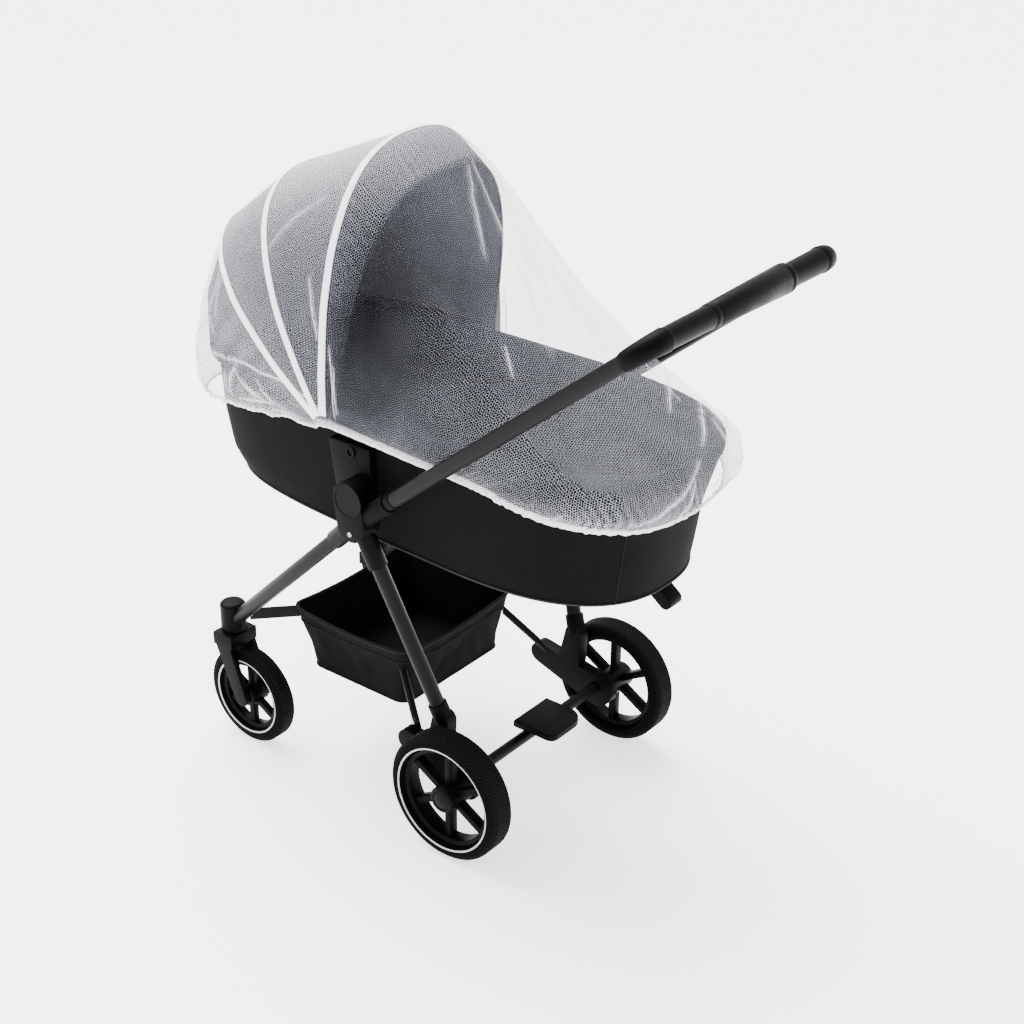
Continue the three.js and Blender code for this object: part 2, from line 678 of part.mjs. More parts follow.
// A moulded wheel with a window between each pair of spokes
function spokedRim(radius, hubRadius, width) {
  const disc = new THREE.Shape(arc(radius, 0, 2 * Math.PI, TYRE_SIDES).slice(1));
  const outer = radius - RIM_BAND;
  const inner = hubRadius + RIM_BAND / 2;
  for (let k = 0; k < SPOKES; k += 1) {
    const start = (2 * Math.PI * k) / SPOKES;
    const end = start + (2 * Math.PI) / SPOKES;
    const outerTrim = Math.asin(SPOKE_HALF_WIDTH / outer);
    const innerTrim = Math.asin((SPOKE_HALF_WIDTH * 1.3) / inner);
    disc.holes.push(new THREE.Path([
      ...arc(outer, start + outerTrim, end - outerTrim, 4),
      ...arc(inner, end - innerTrim, start + innerTrim, 2),
    ]));
  }
  const geometry = new THREE.ExtrudeGeometry(disc, { depth: width, bevelEnabled: false });
  return geometry.translate(0, 0, -width / 2).rotateX(Math.PI / 2);
}

// The hub is moulded with the rim and reaches from its seat on the frame to the hub cap
function buildWheel(name, wheel, sign, hubInner, hubOuter) {
  const { x, radius, width, hubRadius } = wheel;
  const bore = radius - 24;
  const place = [x, sign * wheel.y, radius];
  add(`${name}_tyre`, tyre(wheel, bore), FINISHES.tyre(), place);
  const seat = bore * Math.cos(Math.PI / TYRE_SIDES) - GAP;
  const ends = [hubInner, hubOuter].map((y) => ({ x: 0, y: sign * (y - wheel.y), z: 0 }));
  const rim = fuse([spokedRim(seat, hubRadius, width * 0.5), tube(ends[0], ends[1], hubRadius)]);
  add(`${name}_rim`, rim, FINISHES.plastic(), place);
}

// The basket hangs under the cot: an open cloth box that narrows downwards
const BASKET = {
  topZ: 280, bottomZ: 160, wall: 3,
  top: { head: -268, foot: 4, half: 148 },
  bottom: { head: -236, foot: -15, half: 132 },
};

function basketRing(level, z, inset) {
  const corner = 22;
  const ring = [];
  const centreX = (level.head + level.foot) / 2;
  const reachX = (level.foot - level.head) / 2 - inset - corner;
  const reachY = level.half - inset - corner;
  for (const [sx, sy, start] of [[1, 1, 0], [-1, 1, 90], [-1, -1, 180], [1, -1, 270]]) {
    for (const turn of [0, 30, 60, 90]) {
      const angle = (start + turn) * DEGREES;
      ring.push(new THREE.Vector3(
        centreX + sx * reachX + corner * Math.cos(angle),
        sy * reachY + corner * Math.sin(angle),
        z,
      ));
    }
  }
  return ring;
}

// The filled outline of the basket, grown by clearance, which trims what reaches it
function basketHull(clearance) {
  const { topZ, bottomZ, top, bottom } = BASKET;
  return loft([
    basketRing(bottom, bottomZ - clearance, -clearance),
    basketRing(top, topZ + clearance, -clearance),
  ], true);
}

// A webbing strap ties each front corner to a front leg, and a rod carries each rear
// corner from the rear bracket
const STRAP = { thickness: 4, height: 22, legShare: 0.88, cornerX: -246, cornerY: 128 };
const ROD_RADIUS = 6.5;

function buildBasketHangers(side, sign) {
  const { from, to } = frameTubes(sign).frontLeg;
  const onLeg = between(from, to, STRAP.legShare);
  const corner = { x: STRAP.cornerX, y: sign * STRAP.cornerY, z: BASKET.topZ - STRAP.height / 2 - 3 };
  const strap = new THREE.BoxGeometry(distance(onLeg, corner), STRAP.thickness, STRAP.height);
  strap.rotateZ(Math.atan2(corner.y - onLeg.y, corner.x - onLeg.x));
  const middle = between(onLeg, corner, 0.5);
  strap.translate(middle.x, middle.y, corner.z);
  const leg = tube(from, to, TUBE_RADIUS + GAP);
  add(`basket_strap_${side}`, cutAway(strap, [leg, basketHull(GAP)]), FINISHES.cloth());

  const face = REAR_LEG_END.y - REAR_PLATE_HALF;
  const low = { x: 60, y: sign * (face + ROD_RADIUS), z: 156 };
  const high = { x: -34, y: sign * (BASKET.top.half - 24), z: 258 };
  const beyond = new THREE.BoxGeometry(200, 60, 200).translate(low.x, sign * (face + 30 - GAP), low.z);
  const rod = cutAway(tube(low, high, ROD_RADIUS), [beyond, basketHull(GAP)]);
  add(`basket_rod_${side}`, rod, FINISHES.frame());
}

function buildBasket() {
  const { topZ, bottomZ, wall, top, bottom } = BASKET;
  add('basket', loft([
    basketRing(bottom, bottomZ, 4),
    basketRing(bottom, bottomZ + 4, 0),
    basketRing(top, topZ, 0),
    basketRing(top, topZ, wall),
    basketRing(bottom, bottomZ + 4 + wall, wall),
  ], true), FINISHES.cloth());
}

buildCloth();
buildCot();
buildCotFoot();
buildCrossbar();
buildAxle();
buildPedal();
buildBasket();
for (const { side, sign } of SIDES) {
  buildAdapter(side, sign);
  buildJoint(side, sign);
  buildArm(side, sign);
  buildElbow(side, sign);
  buildFrontLeg(side, sign);
  buildRearLeg(side, sign);
  buildFork(side, sign);
  buildBasketHangers(side, sign);
  const plateFace = REAR_LEG_END.y + REAR_PLATE_HALF + GAP;
  buildWheel(`rear_wheel_${side}`, REAR_WHEEL, sign, plateFace, REAR_WHEEL.y + REAR_WHEEL.width / 2 + 2);
  const hubHalf = FRONT_WHEEL.width / 2 + 3 - GAP;
  buildWheel(`front_wheel_${side}`, FRONT_WHEEL, sign, FRONT_WHEEL.y - hubHalf, FRONT_WHEEL.y + hubHalf);
}

// The origin lies under the middle of the whole
const middle = new THREE.Box3().setFromObject(pram).getCenter(new THREE.Vector3());
for (const mesh of pram.children) mesh.position.x -= middle.x;

export default pram;
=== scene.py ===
# %% [markdown]
# A fine insect net on a pram, built in cells.
#
# The solids of the part are loaded first. They give every place and size, in metres, with
# X towards the foot end and the handle, and Z up. Each cell then makes one piece at full
# detail, and hides the plain solid that it stands for.

import math

import bmesh
import bpy
import numpy as np
from mathutils import Matrix, Vector, noise
from mathutils.kdtree import KDTree


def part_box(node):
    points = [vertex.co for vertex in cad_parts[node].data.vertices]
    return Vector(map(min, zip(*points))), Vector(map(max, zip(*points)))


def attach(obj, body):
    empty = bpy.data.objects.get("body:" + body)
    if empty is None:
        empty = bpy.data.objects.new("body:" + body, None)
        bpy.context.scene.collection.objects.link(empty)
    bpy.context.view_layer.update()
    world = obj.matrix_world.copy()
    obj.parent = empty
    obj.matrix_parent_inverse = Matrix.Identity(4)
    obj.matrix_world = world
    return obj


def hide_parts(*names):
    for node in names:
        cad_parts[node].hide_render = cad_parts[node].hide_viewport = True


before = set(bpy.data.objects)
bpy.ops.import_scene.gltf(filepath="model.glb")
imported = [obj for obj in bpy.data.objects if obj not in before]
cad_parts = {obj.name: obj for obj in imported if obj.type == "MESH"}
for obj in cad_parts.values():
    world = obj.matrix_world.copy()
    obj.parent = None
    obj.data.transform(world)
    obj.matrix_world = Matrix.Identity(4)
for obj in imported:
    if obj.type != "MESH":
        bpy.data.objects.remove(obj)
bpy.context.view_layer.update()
MM = 0.001
# The tables below measure X from near the joints, and this takes them to the part's origin.
SHIFT_X = -29.5445 * MM
SIDES = {"near": -1, "far": 1}


def stand(name, data):
    """An object in the scene that shows the mesh, light or camera."""
    item = bpy.data.objects.new(name, data)
    bpy.context.scene.collection.objects.link(item)
    return item


# %% [markdown]
# The camera stands where the photograph was taken from: over the near side of the foot
# end, looking down at about 27 degrees through a short telephoto lens. A camera's
# rotation is a matrix whose columns are its right, its up and the way behind it.

# %% Camera
CAMERA_PLACE = (1.8896 + SHIFT_X, -2.2638, 2.0054)
CAMERA_YAW, CAMERA_PITCH, CAMERA_ROLL = (math.radians(a) for a in (38.11, -27.17, 0.57))
SENSOR_WIDTH, PICTURE_WIDTH, FOCAL_PIXELS = 36.0, 1024, 1944.1
LENS = FOCAL_PIXELS / PICTURE_WIDTH * SENSOR_WIDTH


def camera_matrix(place, yaw, pitch, roll):
    forward = Vector((
        -math.sin(yaw) * math.cos(pitch), math.cos(yaw) * math.cos(pitch), math.sin(pitch)))
    level = Vector((math.cos(yaw), math.sin(yaw), 0))
    upright = level.cross(forward)
    right = level * math.cos(roll) + upright * math.sin(roll)
    up = -level * math.sin(roll) + upright * math.cos(roll)
    matrix = Matrix((right, up, -forward)).transposed().to_4x4()
    matrix.translation = place
    return matrix


camera_data = bpy.data.cameras.new("camera")
camera_data.lens = LENS
camera_data.sensor_width = SENSOR_WIDTH
camera = stand("camera", camera_data)
camera.matrix_world = camera_matrix(CAMERA_PLACE, CAMERA_YAW, CAMERA_PITCH, CAMERA_ROLL)
camera_data.clip_end = 200
bpy.context.scene.camera = camera
print("lens:", round(LENS, 2), "mm")

# %% [markdown]
# The photograph is lit from above, the left and behind by a very wide soft light, and its
# ground is white. A sun with a large angle gives an even ground out to the horizon, and a
# pale world fills the shadows. Two soft boxes draw the highlights on the tubes.

# %% Floor and studio light
FLOOR_HALF, FLOOR_GLOW = 30.0, 1.6
FLOOR_COLOUR = (0.93, 0.93, 0.93, 1)
LAMPS = [
    # name, place, aimed at, width, energy
    ("left_box", (-2.6, -0.8, 3.0), (0, 0, 0.6), 1.8, 90),
    ("right_box", (3.0, 1.6, 2.0), (0.1, 0, 0.6), 1.6, 30),
]
SUN_PLACE, SUN_STRENGTH, SUN_ANGLE = (-2.2, 1.0, 4.0), 8.5, 50
WORLD_STRENGTH = 1.6


def light(name, kind, spot, target, energy, **settings):
    data = bpy.data.lights.new(name, kind)
    data.energy = energy
    for label, value in settings.items():
        setattr(data, label, value)
    item = stand(name, data)
    item.location = spot
    item.rotation_euler = (Vector(target) - Vector(spot)).to_track_quat("-Z", "Y").to_euler()


for name, spot, target, width, energy in LAMPS:
    light(name, "AREA", spot, target, energy, size=width)
light("wide_sun", "SUN", SUN_PLACE, (0, 0, 0), SUN_STRENGTH, angle=math.radians(SUN_ANGLE))

world = bpy.data.worlds.new("studio")
bpy.context.scene.world = world
world.use_nodes = True
world.node_tree.nodes["Background"].inputs["Color"].default_value = (1, 1, 1, 1)
world.node_tree.nodes["Background"].inputs["Strength"].default_value = WORLD_STRENGTH

floor_mesh = bpy.data.meshes.new("floor")
corners = [(-1, -1), (1, -1), (1, 1), (-1, 1)]
floor_mesh.from_pydata([(x * FLOOR_HALF, y * FLOOR_HALF, 0) for x, y in corners], [], [(0, 1, 2, 3)])
floor = stand("floor", floor_mesh)
print("lamps:", len(bpy.data.lights))

# %% [markdown]
# Every finish is a Principled shader with a small tree of its own. A helper makes the
# material and links nodes, so each finish below reads as a short recipe.


# %% Material helper
class Recipe:
    """A Principled material whose nodes are added one call at a time."""

    def __init__(self, name, colour, roughness, **sockets):
        self.material = bpy.data.materials.new(name)
        self.material.use_nodes = True
        self.tree = self.material.node_tree
        self.shader = self.tree.nodes["Principled BSDF"]
        self.shader.inputs["Base Color"].default_value = (*colour, 1)
        self.shader.inputs["Roughness"].default_value = roughness
        for label, value in sockets.items():
            self.shader.inputs[label.replace("_", " ")].default_value = value

    def node(self, kind, settings=(), **inputs):
        made = self.tree.nodes.new(kind)
        for label, value in dict(settings).items():
            setattr(made, label, value)
        for label, value in inputs.items():
            self.put(made, label, value)
        return made

    def put(self, node, label, value):
        key = int(label[1:]) if label[0] == "i" and label[1:].isdigit() else label.replace("_", " ")
        socket = node.inputs[key]
        if isinstance(value, bpy.types.NodeSocket):
            self.tree.links.new(value, socket)
        else:
            socket.default_value = value

    def math(self, operation, a, b=0.0, c=0.0, clamp=False):
        made = self.node("ShaderNodeMath", {"operation": operation, "use_clamp": clamp}, i0=a, i1=b, i2=c)
        return made.outputs[0]

    def coordinates(self, kind="Object"):
        return self.node("ShaderNodeTexCoord").outputs[kind]

    def noise(self, scale, detail=3.0):
        made = self.node("ShaderNodeTexNoise", Vector=self.coordinates(), Scale=scale, Detail=detail)
        return made.outputs["Fac"]

    def blend(self, share, a, b):
        made = self.node("ShaderNodeMix", {"data_type": "RGBA"})
        self.put(made, "i0", share)
        self.put(made, "i6", (*a, 1) if isinstance(a, tuple) else a)
        self.put(made, "i7", (*b, 1) if isinstance(b, tuple) else b)
        return made.outputs[2]

    def span(self, value, low, high, to_low, to_high):
        made = self.node("ShaderNodeMapRange", Value=value)
        for label, number in (("From Min", low), ("From Max", high), ("To Min", to_low), ("To Max", to_high)):
            made.inputs[label].default_value = number
        return made.outputs[0]

    def bump(self, height, strength, distance):
        made = self.node("ShaderNodeBump", Strength=strength, Distance=distance, Height=height)
        self.put(self.shader, "Normal", made.outputs[0])

    def set(self, label, value):
        self.put(self.shader, label, value)


def attribute(recipe, name):
    return recipe.node("ShaderNodeAttribute", {"attribute_name": name}).outputs["Fac"]


def woven(recipe, pitch):
    """A plain weave: two crossed sets of ridges, one thread apart."""
    parts = recipe.node("ShaderNodeSeparateXYZ", Vector=recipe.coordinates("UV"))
    turn = 2 * math.pi / pitch
    warp = recipe.math("SINE", recipe.math("MULTIPLY", parts.outputs[0], turn))
    weft = recipe.math("SINE", recipe.math("MULTIPLY", parts.outputs[1], turn))
    return recipe.math("MULTIPLY_ADD", recipe.math("MULTIPLY", warp, weft), 0.5, 0.5)


# %% [markdown]
# The pale floor of a studio is not quite even. A faint grain keeps it from looking like
# plain paint.

# %% Floor finish
floor_paper = Recipe("floor_paper", FLOOR_COLOUR[:3], 0.9)
floor_paper.bump(floor_paper.noise(40.0), 0.05, 0.001)
floor_paper.set("Emission Color", (1, 1, 1, 1))
floor_paper.set("Emission Strength", FLOOR_GLOW)
floor_mesh.materials.append(floor_paper.material)

# %% [markdown]
# Tulle is a net of thread whose holes are about as wide as a grain of rice. Three waves
# that cross at 60 degrees add up to a honeycomb, so the threads come from a few maths
# nodes on the cloth's own UV map, which is in metres. At the sides the net's rows run
# together to a point, so there the pattern lies on the upright plane instead. Where the
# cloth is gathered, layers lie over each other, and it hides more of what is behind.

# %% Net finish
MESH_PITCH, MESH_UNEVEN = 3.5 * MM, 0.42
THREAD_ALPHA = 0.85
STEEP_SIDE = 0.72
TULLE_SHINE = 0.15


def honeycomb(recipe, pitch):
    """Low on the threads of a honeycomb, high in its holes, a little uneven."""
    over = recipe.node("ShaderNodeUVMap", {"uv_map": "metres"}).outputs[0]
    beside = recipe.coordinates("Object")
    turned = recipe.node("ShaderNodeSeparateXYZ", Vector=beside)
    upright = recipe.node("ShaderNodeCombineXYZ", i0=turned.outputs[0], i1=turned.outputs[2]).outputs[0]
    steep = recipe.math("GREATER_THAN", attribute(recipe, "steepness"), STEEP_SIDE)
    choice = recipe.node("ShaderNodeMix", {"data_type": "VECTOR"})
    recipe.put(choice, "i0", steep)
    recipe.put(choice, "i4", over)
    recipe.put(choice, "i5", upright)
    flat = choice.outputs[1]
    stray = recipe.node("ShaderNodeTexNoise", {"normalize": False}, Vector=flat, Scale=170.0, Detail=1.0)
    pull = recipe.node("ShaderNodeVectorMath", {"operation": "SCALE"}, i0=stray.outputs["Color"])
    pull.inputs["Scale"].default_value = pitch * MESH_UNEVEN
    vector = recipe.node("ShaderNodeVectorMath", {"operation": "ADD"}, i0=flat, i1=pull.outputs[0])
    parts = recipe.node("ShaderNodeSeparateXYZ", Vector=vector.outputs[0])
    turn = 2 * math.pi / pitch
    total = None
    for angle in (0, 60, 120):
        along = recipe.math("MULTIPLY", parts.outputs[0], turn * math.cos(math.radians(angle)))
        across = recipe.math("MULTIPLY", parts.outputs[1], turn * math.sin(math.radians(angle)))
        wave = recipe.math("COSINE", recipe.math("ADD", along, across))
        total = wave if total is None else recipe.math("ADD", total, wave)
    return total


# This attribute moves the edge between thread and hole: 0 is one open layer, and
# 1 is cloth so doubled that hardly a hole is left. It also turns the threads from grey to
# white, and the grey of thin threads is painted shade, for threads that shade each other.
# Where the attribute is raised because the net faces up, the whiter, denser cloth is painted light.
tulle = Recipe("net_tulle", (0.86, 0.875, 0.95), 0.8, Specular_IOR_Level=TULLE_SHINE)
gathers_and_light = attribute(tulle, "gathers_and_light")
edge = tulle.math("MULTIPLY_ADD", gathers_and_light, 3.6, -1.02)
fuller = tulle.span(gathers_and_light, 0.0, 0.45, 0.0, 1.0)
tulle.set("Base Color", tulle.blend(fuller, (0.31, 0.318, 0.372), (0.93, 0.935, 0.96)))
patchy = tulle.span(tulle.noise(11.0, 2.0), 0.35, 0.65, -0.04, 0.04)
depth = tulle.math("SUBTRACT", tulle.math("ADD", edge, patchy), honeycomb(tulle, MESH_PITCH))
tulle.set("Alpha", tulle.span(depth, -0.12, 0.32, 0.0, THREAD_ALPHA))
tulle.material.surface_render_method = "DITHERED"

# %% [markdown]
# The tapes and the hem are tightly woven and quite opaque. The dark cloths differ in
# their weave: the hood's is a fine grey canvas, the carrycot's a black one with a
# little more wear.

# %% Cloth finishes
tape_white = Recipe("tape_white", (0.95, 0.95, 0.955), 0.7)
tape_white.bump(woven(tape_white, 1.6 * MM), 0.35, 0.0004)

hem_white = Recipe("hem_white", (0.93, 0.935, 0.96), 0.75)
hem_white.bump(hem_white.noise(260.0, 4.0), 0.5, 0.0012)
hem_white.set("Alpha", hem_white.span(hem_white.noise(300.0, 2.0), 0.35, 0.6, 0.55, 1.0))

pinch_white = Recipe("net_pinch", (0.90, 0.905, 0.94), 0.8, Specular_IOR_Level=TULLE_SHINE)
pinch_white.set("Alpha", pinch_white.span(pinch_white.noise(420.0, 2.0), 0.35, 0.65, 0.25, 0.8))
pinch_white.material.surface_render_method = "DITHERED"


CLOTH_SHINE = 0.07


def dark_cloth(name, colour, lighter, pitch, roughness=0.88):
    recipe = Recipe(name, colour, roughness, Specular_IOR_Level=CLOTH_SHINE)
    worn = recipe.math("MULTIPLY_ADD", recipe.span(recipe.noise(14.0, 4.0), 0.4, 0.75, 0.0, 1.0), 0.5, 0.5)
    recipe.set("Base Color", recipe.blend(worn, colour, lighter))
    weave = woven(recipe, pitch)
    recipe.bump(recipe.math("ADD", weave, recipe.span(weave, -0.5, 0.5, 0.0, 0.5)), 0.55, pitch * 0.35)
    return recipe.material


HOOD_CLOTH = dark_cloth("hood_canvas", (0.034, 0.035, 0.043), (0.044, 0.045, 0.055), 1.5 * MM)
LINING = dark_cloth("hood_lining", (0.0045, 0.0048, 0.007), (0.008, 0.0083, 0.0115), 1.2 * MM)
COT_CLOTH = dark_cloth("cot_canvas", (0.0012, 0.0012, 0.0013), (0.0024, 0.0024, 0.0026), 1.6 * MM)
# The piping cord is about ten times lighter than the cover, which paints the highlight along it; its lower
# roughness adds a little real gloss.
PIPING = dark_cloth("piping_cord", (0.013, 0.013, 0.014), (0.024, 0.024, 0.025), 1.0 * MM, 0.5)
BINDING = dark_cloth("binding_tape", (0.004, 0.004, 0.0044), (0.008, 0.008, 0.009), 1.0 * MM, 0.75)

# %% [markdown]
# The hard parts are black, and what tells them apart is gloss: powder coat has a fine
# orange peel, moulded plastic a coarser grain, rubber is dull and a little brown, and
# the grip's imitation leather is pebbled.


# %% Hard finishes
def hard_black(name, colour, roughness, grain, depth, shine, **sockets):
    recipe = Recipe(name, colour, roughness, Specular_IOR_Level=shine, **sockets)
    tone = recipe.span(recipe.noise(6.0, 3.0), 0.3, 0.7, -0.06, 0.06)
    recipe.set("Roughness", recipe.math("ADD", tone, roughness))
    recipe.bump(recipe.noise(grain, 2.0), 0.35, depth)
    return recipe.material


COAT = hard_black("frame_coat", (0.0020, 0.0020, 0.0021), 0.42, 900.0, 0.00012, shine=0.075)
PLASTIC = hard_black("moulded_plastic", (0.0012, 0.0012, 0.0013), 0.46, 1400.0, 0.0002, shine=0.035)
DULL_PLASTIC = hard_black("joint_cover", (0.0012, 0.0012, 0.0013), 0.44, 1400.0, 0.0002, shine=0.045)
STEEL = hard_black("bright_steel", (0.30, 0.30, 0.31), 0.3, 500.0, 0.00006, shine=0.5, Metallic=1.0)
STRIPE = hard_black("sidewall_stripe", (0.42, 0.42, 0.43), 0.4, 300.0, 0.0001, shine=0.5)

# Rubber: the tread's short blocks run in a zigzag, so the bump is a wave along the
# tyre's own UV map whose phase goes to and fro across it.
TREAD_PITCH, TREAD_SWING, TREAD_SLANT, TREAD_DEPTH = 7.4 * MM, 4.2 * MM, 1.5, 2.4 * MM
rubber = Recipe("tyre_rubber", (0.0065, 0.0056, 0.0046), 0.85, Specular_IOR_Level=0.04)
spread = rubber.node("ShaderNodeSeparateXYZ", Vector=rubber.coordinates("UV"))
swing = rubber.math("PINGPONG", spread.outputs[0], TREAD_SWING)
shifted = rubber.math("MULTIPLY_ADD", swing, TREAD_SLANT, spread.outputs[1])
blocks = rubber.math("SINE", rubber.math("MULTIPLY", shifted, 2 * math.pi / TREAD_PITCH))
raised = rubber.math("MULTIPLY", rubber.span(blocks, -0.25, 0.15, 0.0, 1.0), attribute(rubber, "tread"))
rubber.bump(raised, 1.0, TREAD_DEPTH)
# The grooves between the blocks are painted nearly black, about nine times darker than the blocks, which is
# painted shade in the grooves.
rubber.set("Base Color", rubber.blend(raised, (0.0008, 0.0008, 0.0007), (0.0070, 0.0061, 0.0050)))
RUBBER = rubber.material

leather = Recipe("grip_leather", (0.0010, 0.0010, 0.0011), 0.5, Specular_IOR_Level=0.05)
pebbles = leather.node("ShaderNodeTexVoronoi", Vector=leather.coordinates(), Scale=420.0)
leather.bump(pebbles.outputs["Distance"], 0.45, 0.6 * MM)
leather.set("Roughness", leather.span(leather.noise(30.0), 0.3, 0.7, 0.38, 0.55))
LEATHER = leather.material
print("materials:", len(bpy.data.materials))

# %% [markdown]
# Most pieces are rows of points joined by four-sided faces. These helpers make the mesh,
# give it a UV map in metres along its rows and columns, and tie it to the part's body.


# %% Mesh helpers
def grid_faces(rows, columns, closed=False, looped=False):
    """Faces between rows of points. Closed joins each row's ends, looped the last row to the first."""
    faces = []
    for i in range(rows if looped else rows - 1):
        here, there = i * columns, (i + 1) % rows * columns
        for j in range(columns if closed else columns - 1):
            k = (j + 1) % columns
            faces.append((here + j, here + k, there + k, there + j))
    return faces


def end_caps(rows, columns):
    """The two faces that close the first and the last row."""
    return [tuple(range(columns))[::-1], tuple(range((rows - 1) * columns, rows * columns))]


def unit(vectors):
    return vectors / np.maximum(np.linalg.norm(vectors, axis=-1, keepdims=True), 1e-9)


def uneven(points, *scales):
    """Smooth noise at each point. The larger the scales, the smaller its patches."""
    spots = (np.asarray(points) * scales).reshape(-1, 3)
    return np.array([noise.noise(Vector(spot)) for spot in spots]).reshape(np.shape(points)[:-1])


def lengths(points):
    steps = np.linalg.norm(np.diff(points, axis=0), axis=1)
    return np.concatenate([[0], np.cumsum(steps)])


def metric_map(grid):
    """How far each point lies along its row and its column, from the middle of each."""
    across = np.array([lengths(row) for row in grid])
    across -= across[:, across.shape[1] // 2][:, None]
    middle = lengths(grid[:, grid.shape[1] // 2])
    along = np.repeat(middle[:, None], grid.shape[1], axis=1)
    return np.stack([across, along], axis=-1)


def new_piece(name, points, faces, materials, face_material=None, uv=None, sharp=40.0):
    """A smooth object of these points and faces, with a UV map in metres."""
    points = np.reshape(points, (-1, 3))
    mesh = bpy.data.meshes.new(name)
    mesh.from_pydata([tuple(map(float, p)) for p in points], [], faces)
    for material in materials if isinstance(materials, (list, tuple)) else [materials]:
        mesh.materials.append(material)
    if face_material is not None:
        mesh.polygons.foreach_set("material_index", face_material)
    if uv is not None:
        layer = mesh.uv_layers.new(name="metres")
        corner = np.zeros(len(mesh.loops), int)
        mesh.loops.foreach_get("vertex_index", corner)
        layer.data.foreach_set("uv", np.reshape(uv, (-1, 2))[corner].ravel())
    return shade(stand(name, mesh), sharp)


def shade(piece, sharp):
    mesh = piece.data
    mesh.polygons.foreach_set("use_smooth", [True] * len(mesh.polygons))
    mesh.set_sharp_from_angle(angle=math.radians(sharp))
    mesh.update()
    return piece


def settle(piece, slot, *nodes):
    """Ties a finished piece to the part, and hides the solids that it stands for."""
    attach(piece, "root")
    if nodes:
        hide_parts(*nodes)
    return piece


def face_outwards(piece):
    edit = bmesh.new()
    edit.from_mesh(piece.data)
    bmesh.ops.recalc_face_normals(edit, faces=edit.faces)
    edit.to_mesh(piece.data)
    edit.free()
    return piece


def joined(name, pieces):
    """One object made of several, with each one's materials kept."""
    for other in bpy.context.selected_objects:
        other.select_set(False)
    for piece in pieces:
        piece.select_set(True)
    bpy.context.view_layer.objects.active = pieces[0]
    bpy.ops.object.join()
    pieces[0].name = name
    pieces[0].data.name = name
    return pieces[0]


def plain_mesh(item):
    """The mesh that the item has with its modifiers applied."""
    return bpy.data.meshes.new_from_object(item.evaluated_get(bpy.context.evaluated_depsgraph_get()))


# %% [markdown]
# The net was cut and sewn to go over three bows. Its shape is a row of U-shaped
# cross-sections that fan round the cot, from the hem at the head to the hem at the foot,
# with a smooth curve from each to the next. The same table gives the solid, so the fine
# cloth lies on it.

# %% Net sections
# Each stands at x, z beside the rim, leans by angle, and reaches height along its lean.
COLUMNS = ("name", "x", "z", "angle", "height", "half_width", "squareness", "clip")
NET_TABLE = [
    ("head hem", -118, 696, 186, 338, 216, 4.4, 0),
    ("head skirt", -114, 698, 180, 364, 219, 4.2, 0),
    ("head seam", -108, 700, 173, 386, 221, 3.6, 0),
    ("head panel", -104, 701, 160, 406, 221, 2.9, 0),
    ("rear bow", -100, 702, 145.4, 424, 221, 2.5, 0),
    ("middle bow", -99, 702, 122.4, 408, 223, 2.5, 0),
    ("main bow", -98, 702, 90, 437, 223, 2.5, 0),
    ("visor", -86, 701, 80, 406, 219, 2.6, 0),
    ("front span", 20, 697, 60, 278, 221, 2.5, 0),
    ("middle span", 120, 692, 42, 225, 221, 2.5, 0),
    ("foot span", 196, 687, 25, 224, 220, 2.5, 0),
    ("foot shoulder", 232, 683, 13, 264, 218, 2.4, 0),
    ("foot wrap", 246, 680, 1, 252, 217, 2.4, 0),
    ("foot hem", 250, 676, -8, 222, 215, 2.4, 0),
]
HOOD_TABLE = [
    ("lower edge", -108, 738.8, 180, 350, 211, 3.6, 150),
    ("rear panel", -104, 701, 160, 397, 214, 2.9, 110.6),
    ("rear bow", -100, 702, 145.4, 421.8, 214, 2.5, 64.8),
    ("middle bow", -99, 702, 122.4, 405.8, 214, 2.5, 43.6),
    ("main bow", -98, 702, 90, 434.8, 214, 2.5, 36.8),
    ("front edge", -96, 702, 80, 396, 199, 2.8, 37.4),
]
NET = [dict(zip(COLUMNS, row)) for row in NET_TABLE]
HOOD = [dict(zip(COLUMNS, row)) for row in HOOD_TABLE]
EDGE_CROWDING = 0.35


def section_points(section, share):
    start = math.asin((section["clip"] / section["height"]) ** (section["squareness"] / 2))
    crowded = share - EDGE_CROWDING * np.sin(4 * np.pi * share) / (4 * np.pi)
    turn = start + (np.pi - 2 * start) * crowded
    power = 2 / section["squareness"]
    across = np.sign(np.cos(turn)) * np.abs(np.cos(turn)) ** power
    rise = section["height"] * np.maximum(np.sin(turn), 0) ** power
    lean = math.radians(section["angle"])
    x = section["x"] + rise * math.cos(lean)
    z = section["z"] + rise * math.sin(lean)
    return np.stack([x * MM + SHIFT_X, -section["half_width"] * across * MM, z * MM], axis=-1)


def cloth_grid(sections, places, share, roundness):
    """Hermite curves through the sections, at the given places along them."""
    rows = np.array([section_points(section, share) for section in sections])
    last = len(sections) - 1
    grid = []
    for place in places:
        k = min(int(place), last - 1)
        s = place - k
        before, start, end, after = (rows[min(max(n, 0), last)] for n in (k - 1, k, k + 1, k + 2))
        leaving, arriving = (end - before) * roundness / 2, (after - start) * roundness / 2
        grid.append(
            start * (2 * s**3 - 3 * s**2 + 1) + leaving * (s**3 - 2 * s**2 + s)
            + end * (3 * s**2 - 2 * s**3) + arriving * (s**3 - s**2))
    return np.array(grid)


def grid_normals(grid):
    along = np.gradient(grid, axis=0)
    across = np.gradient(grid, axis=1)
    return unit(np.cross(along, across))


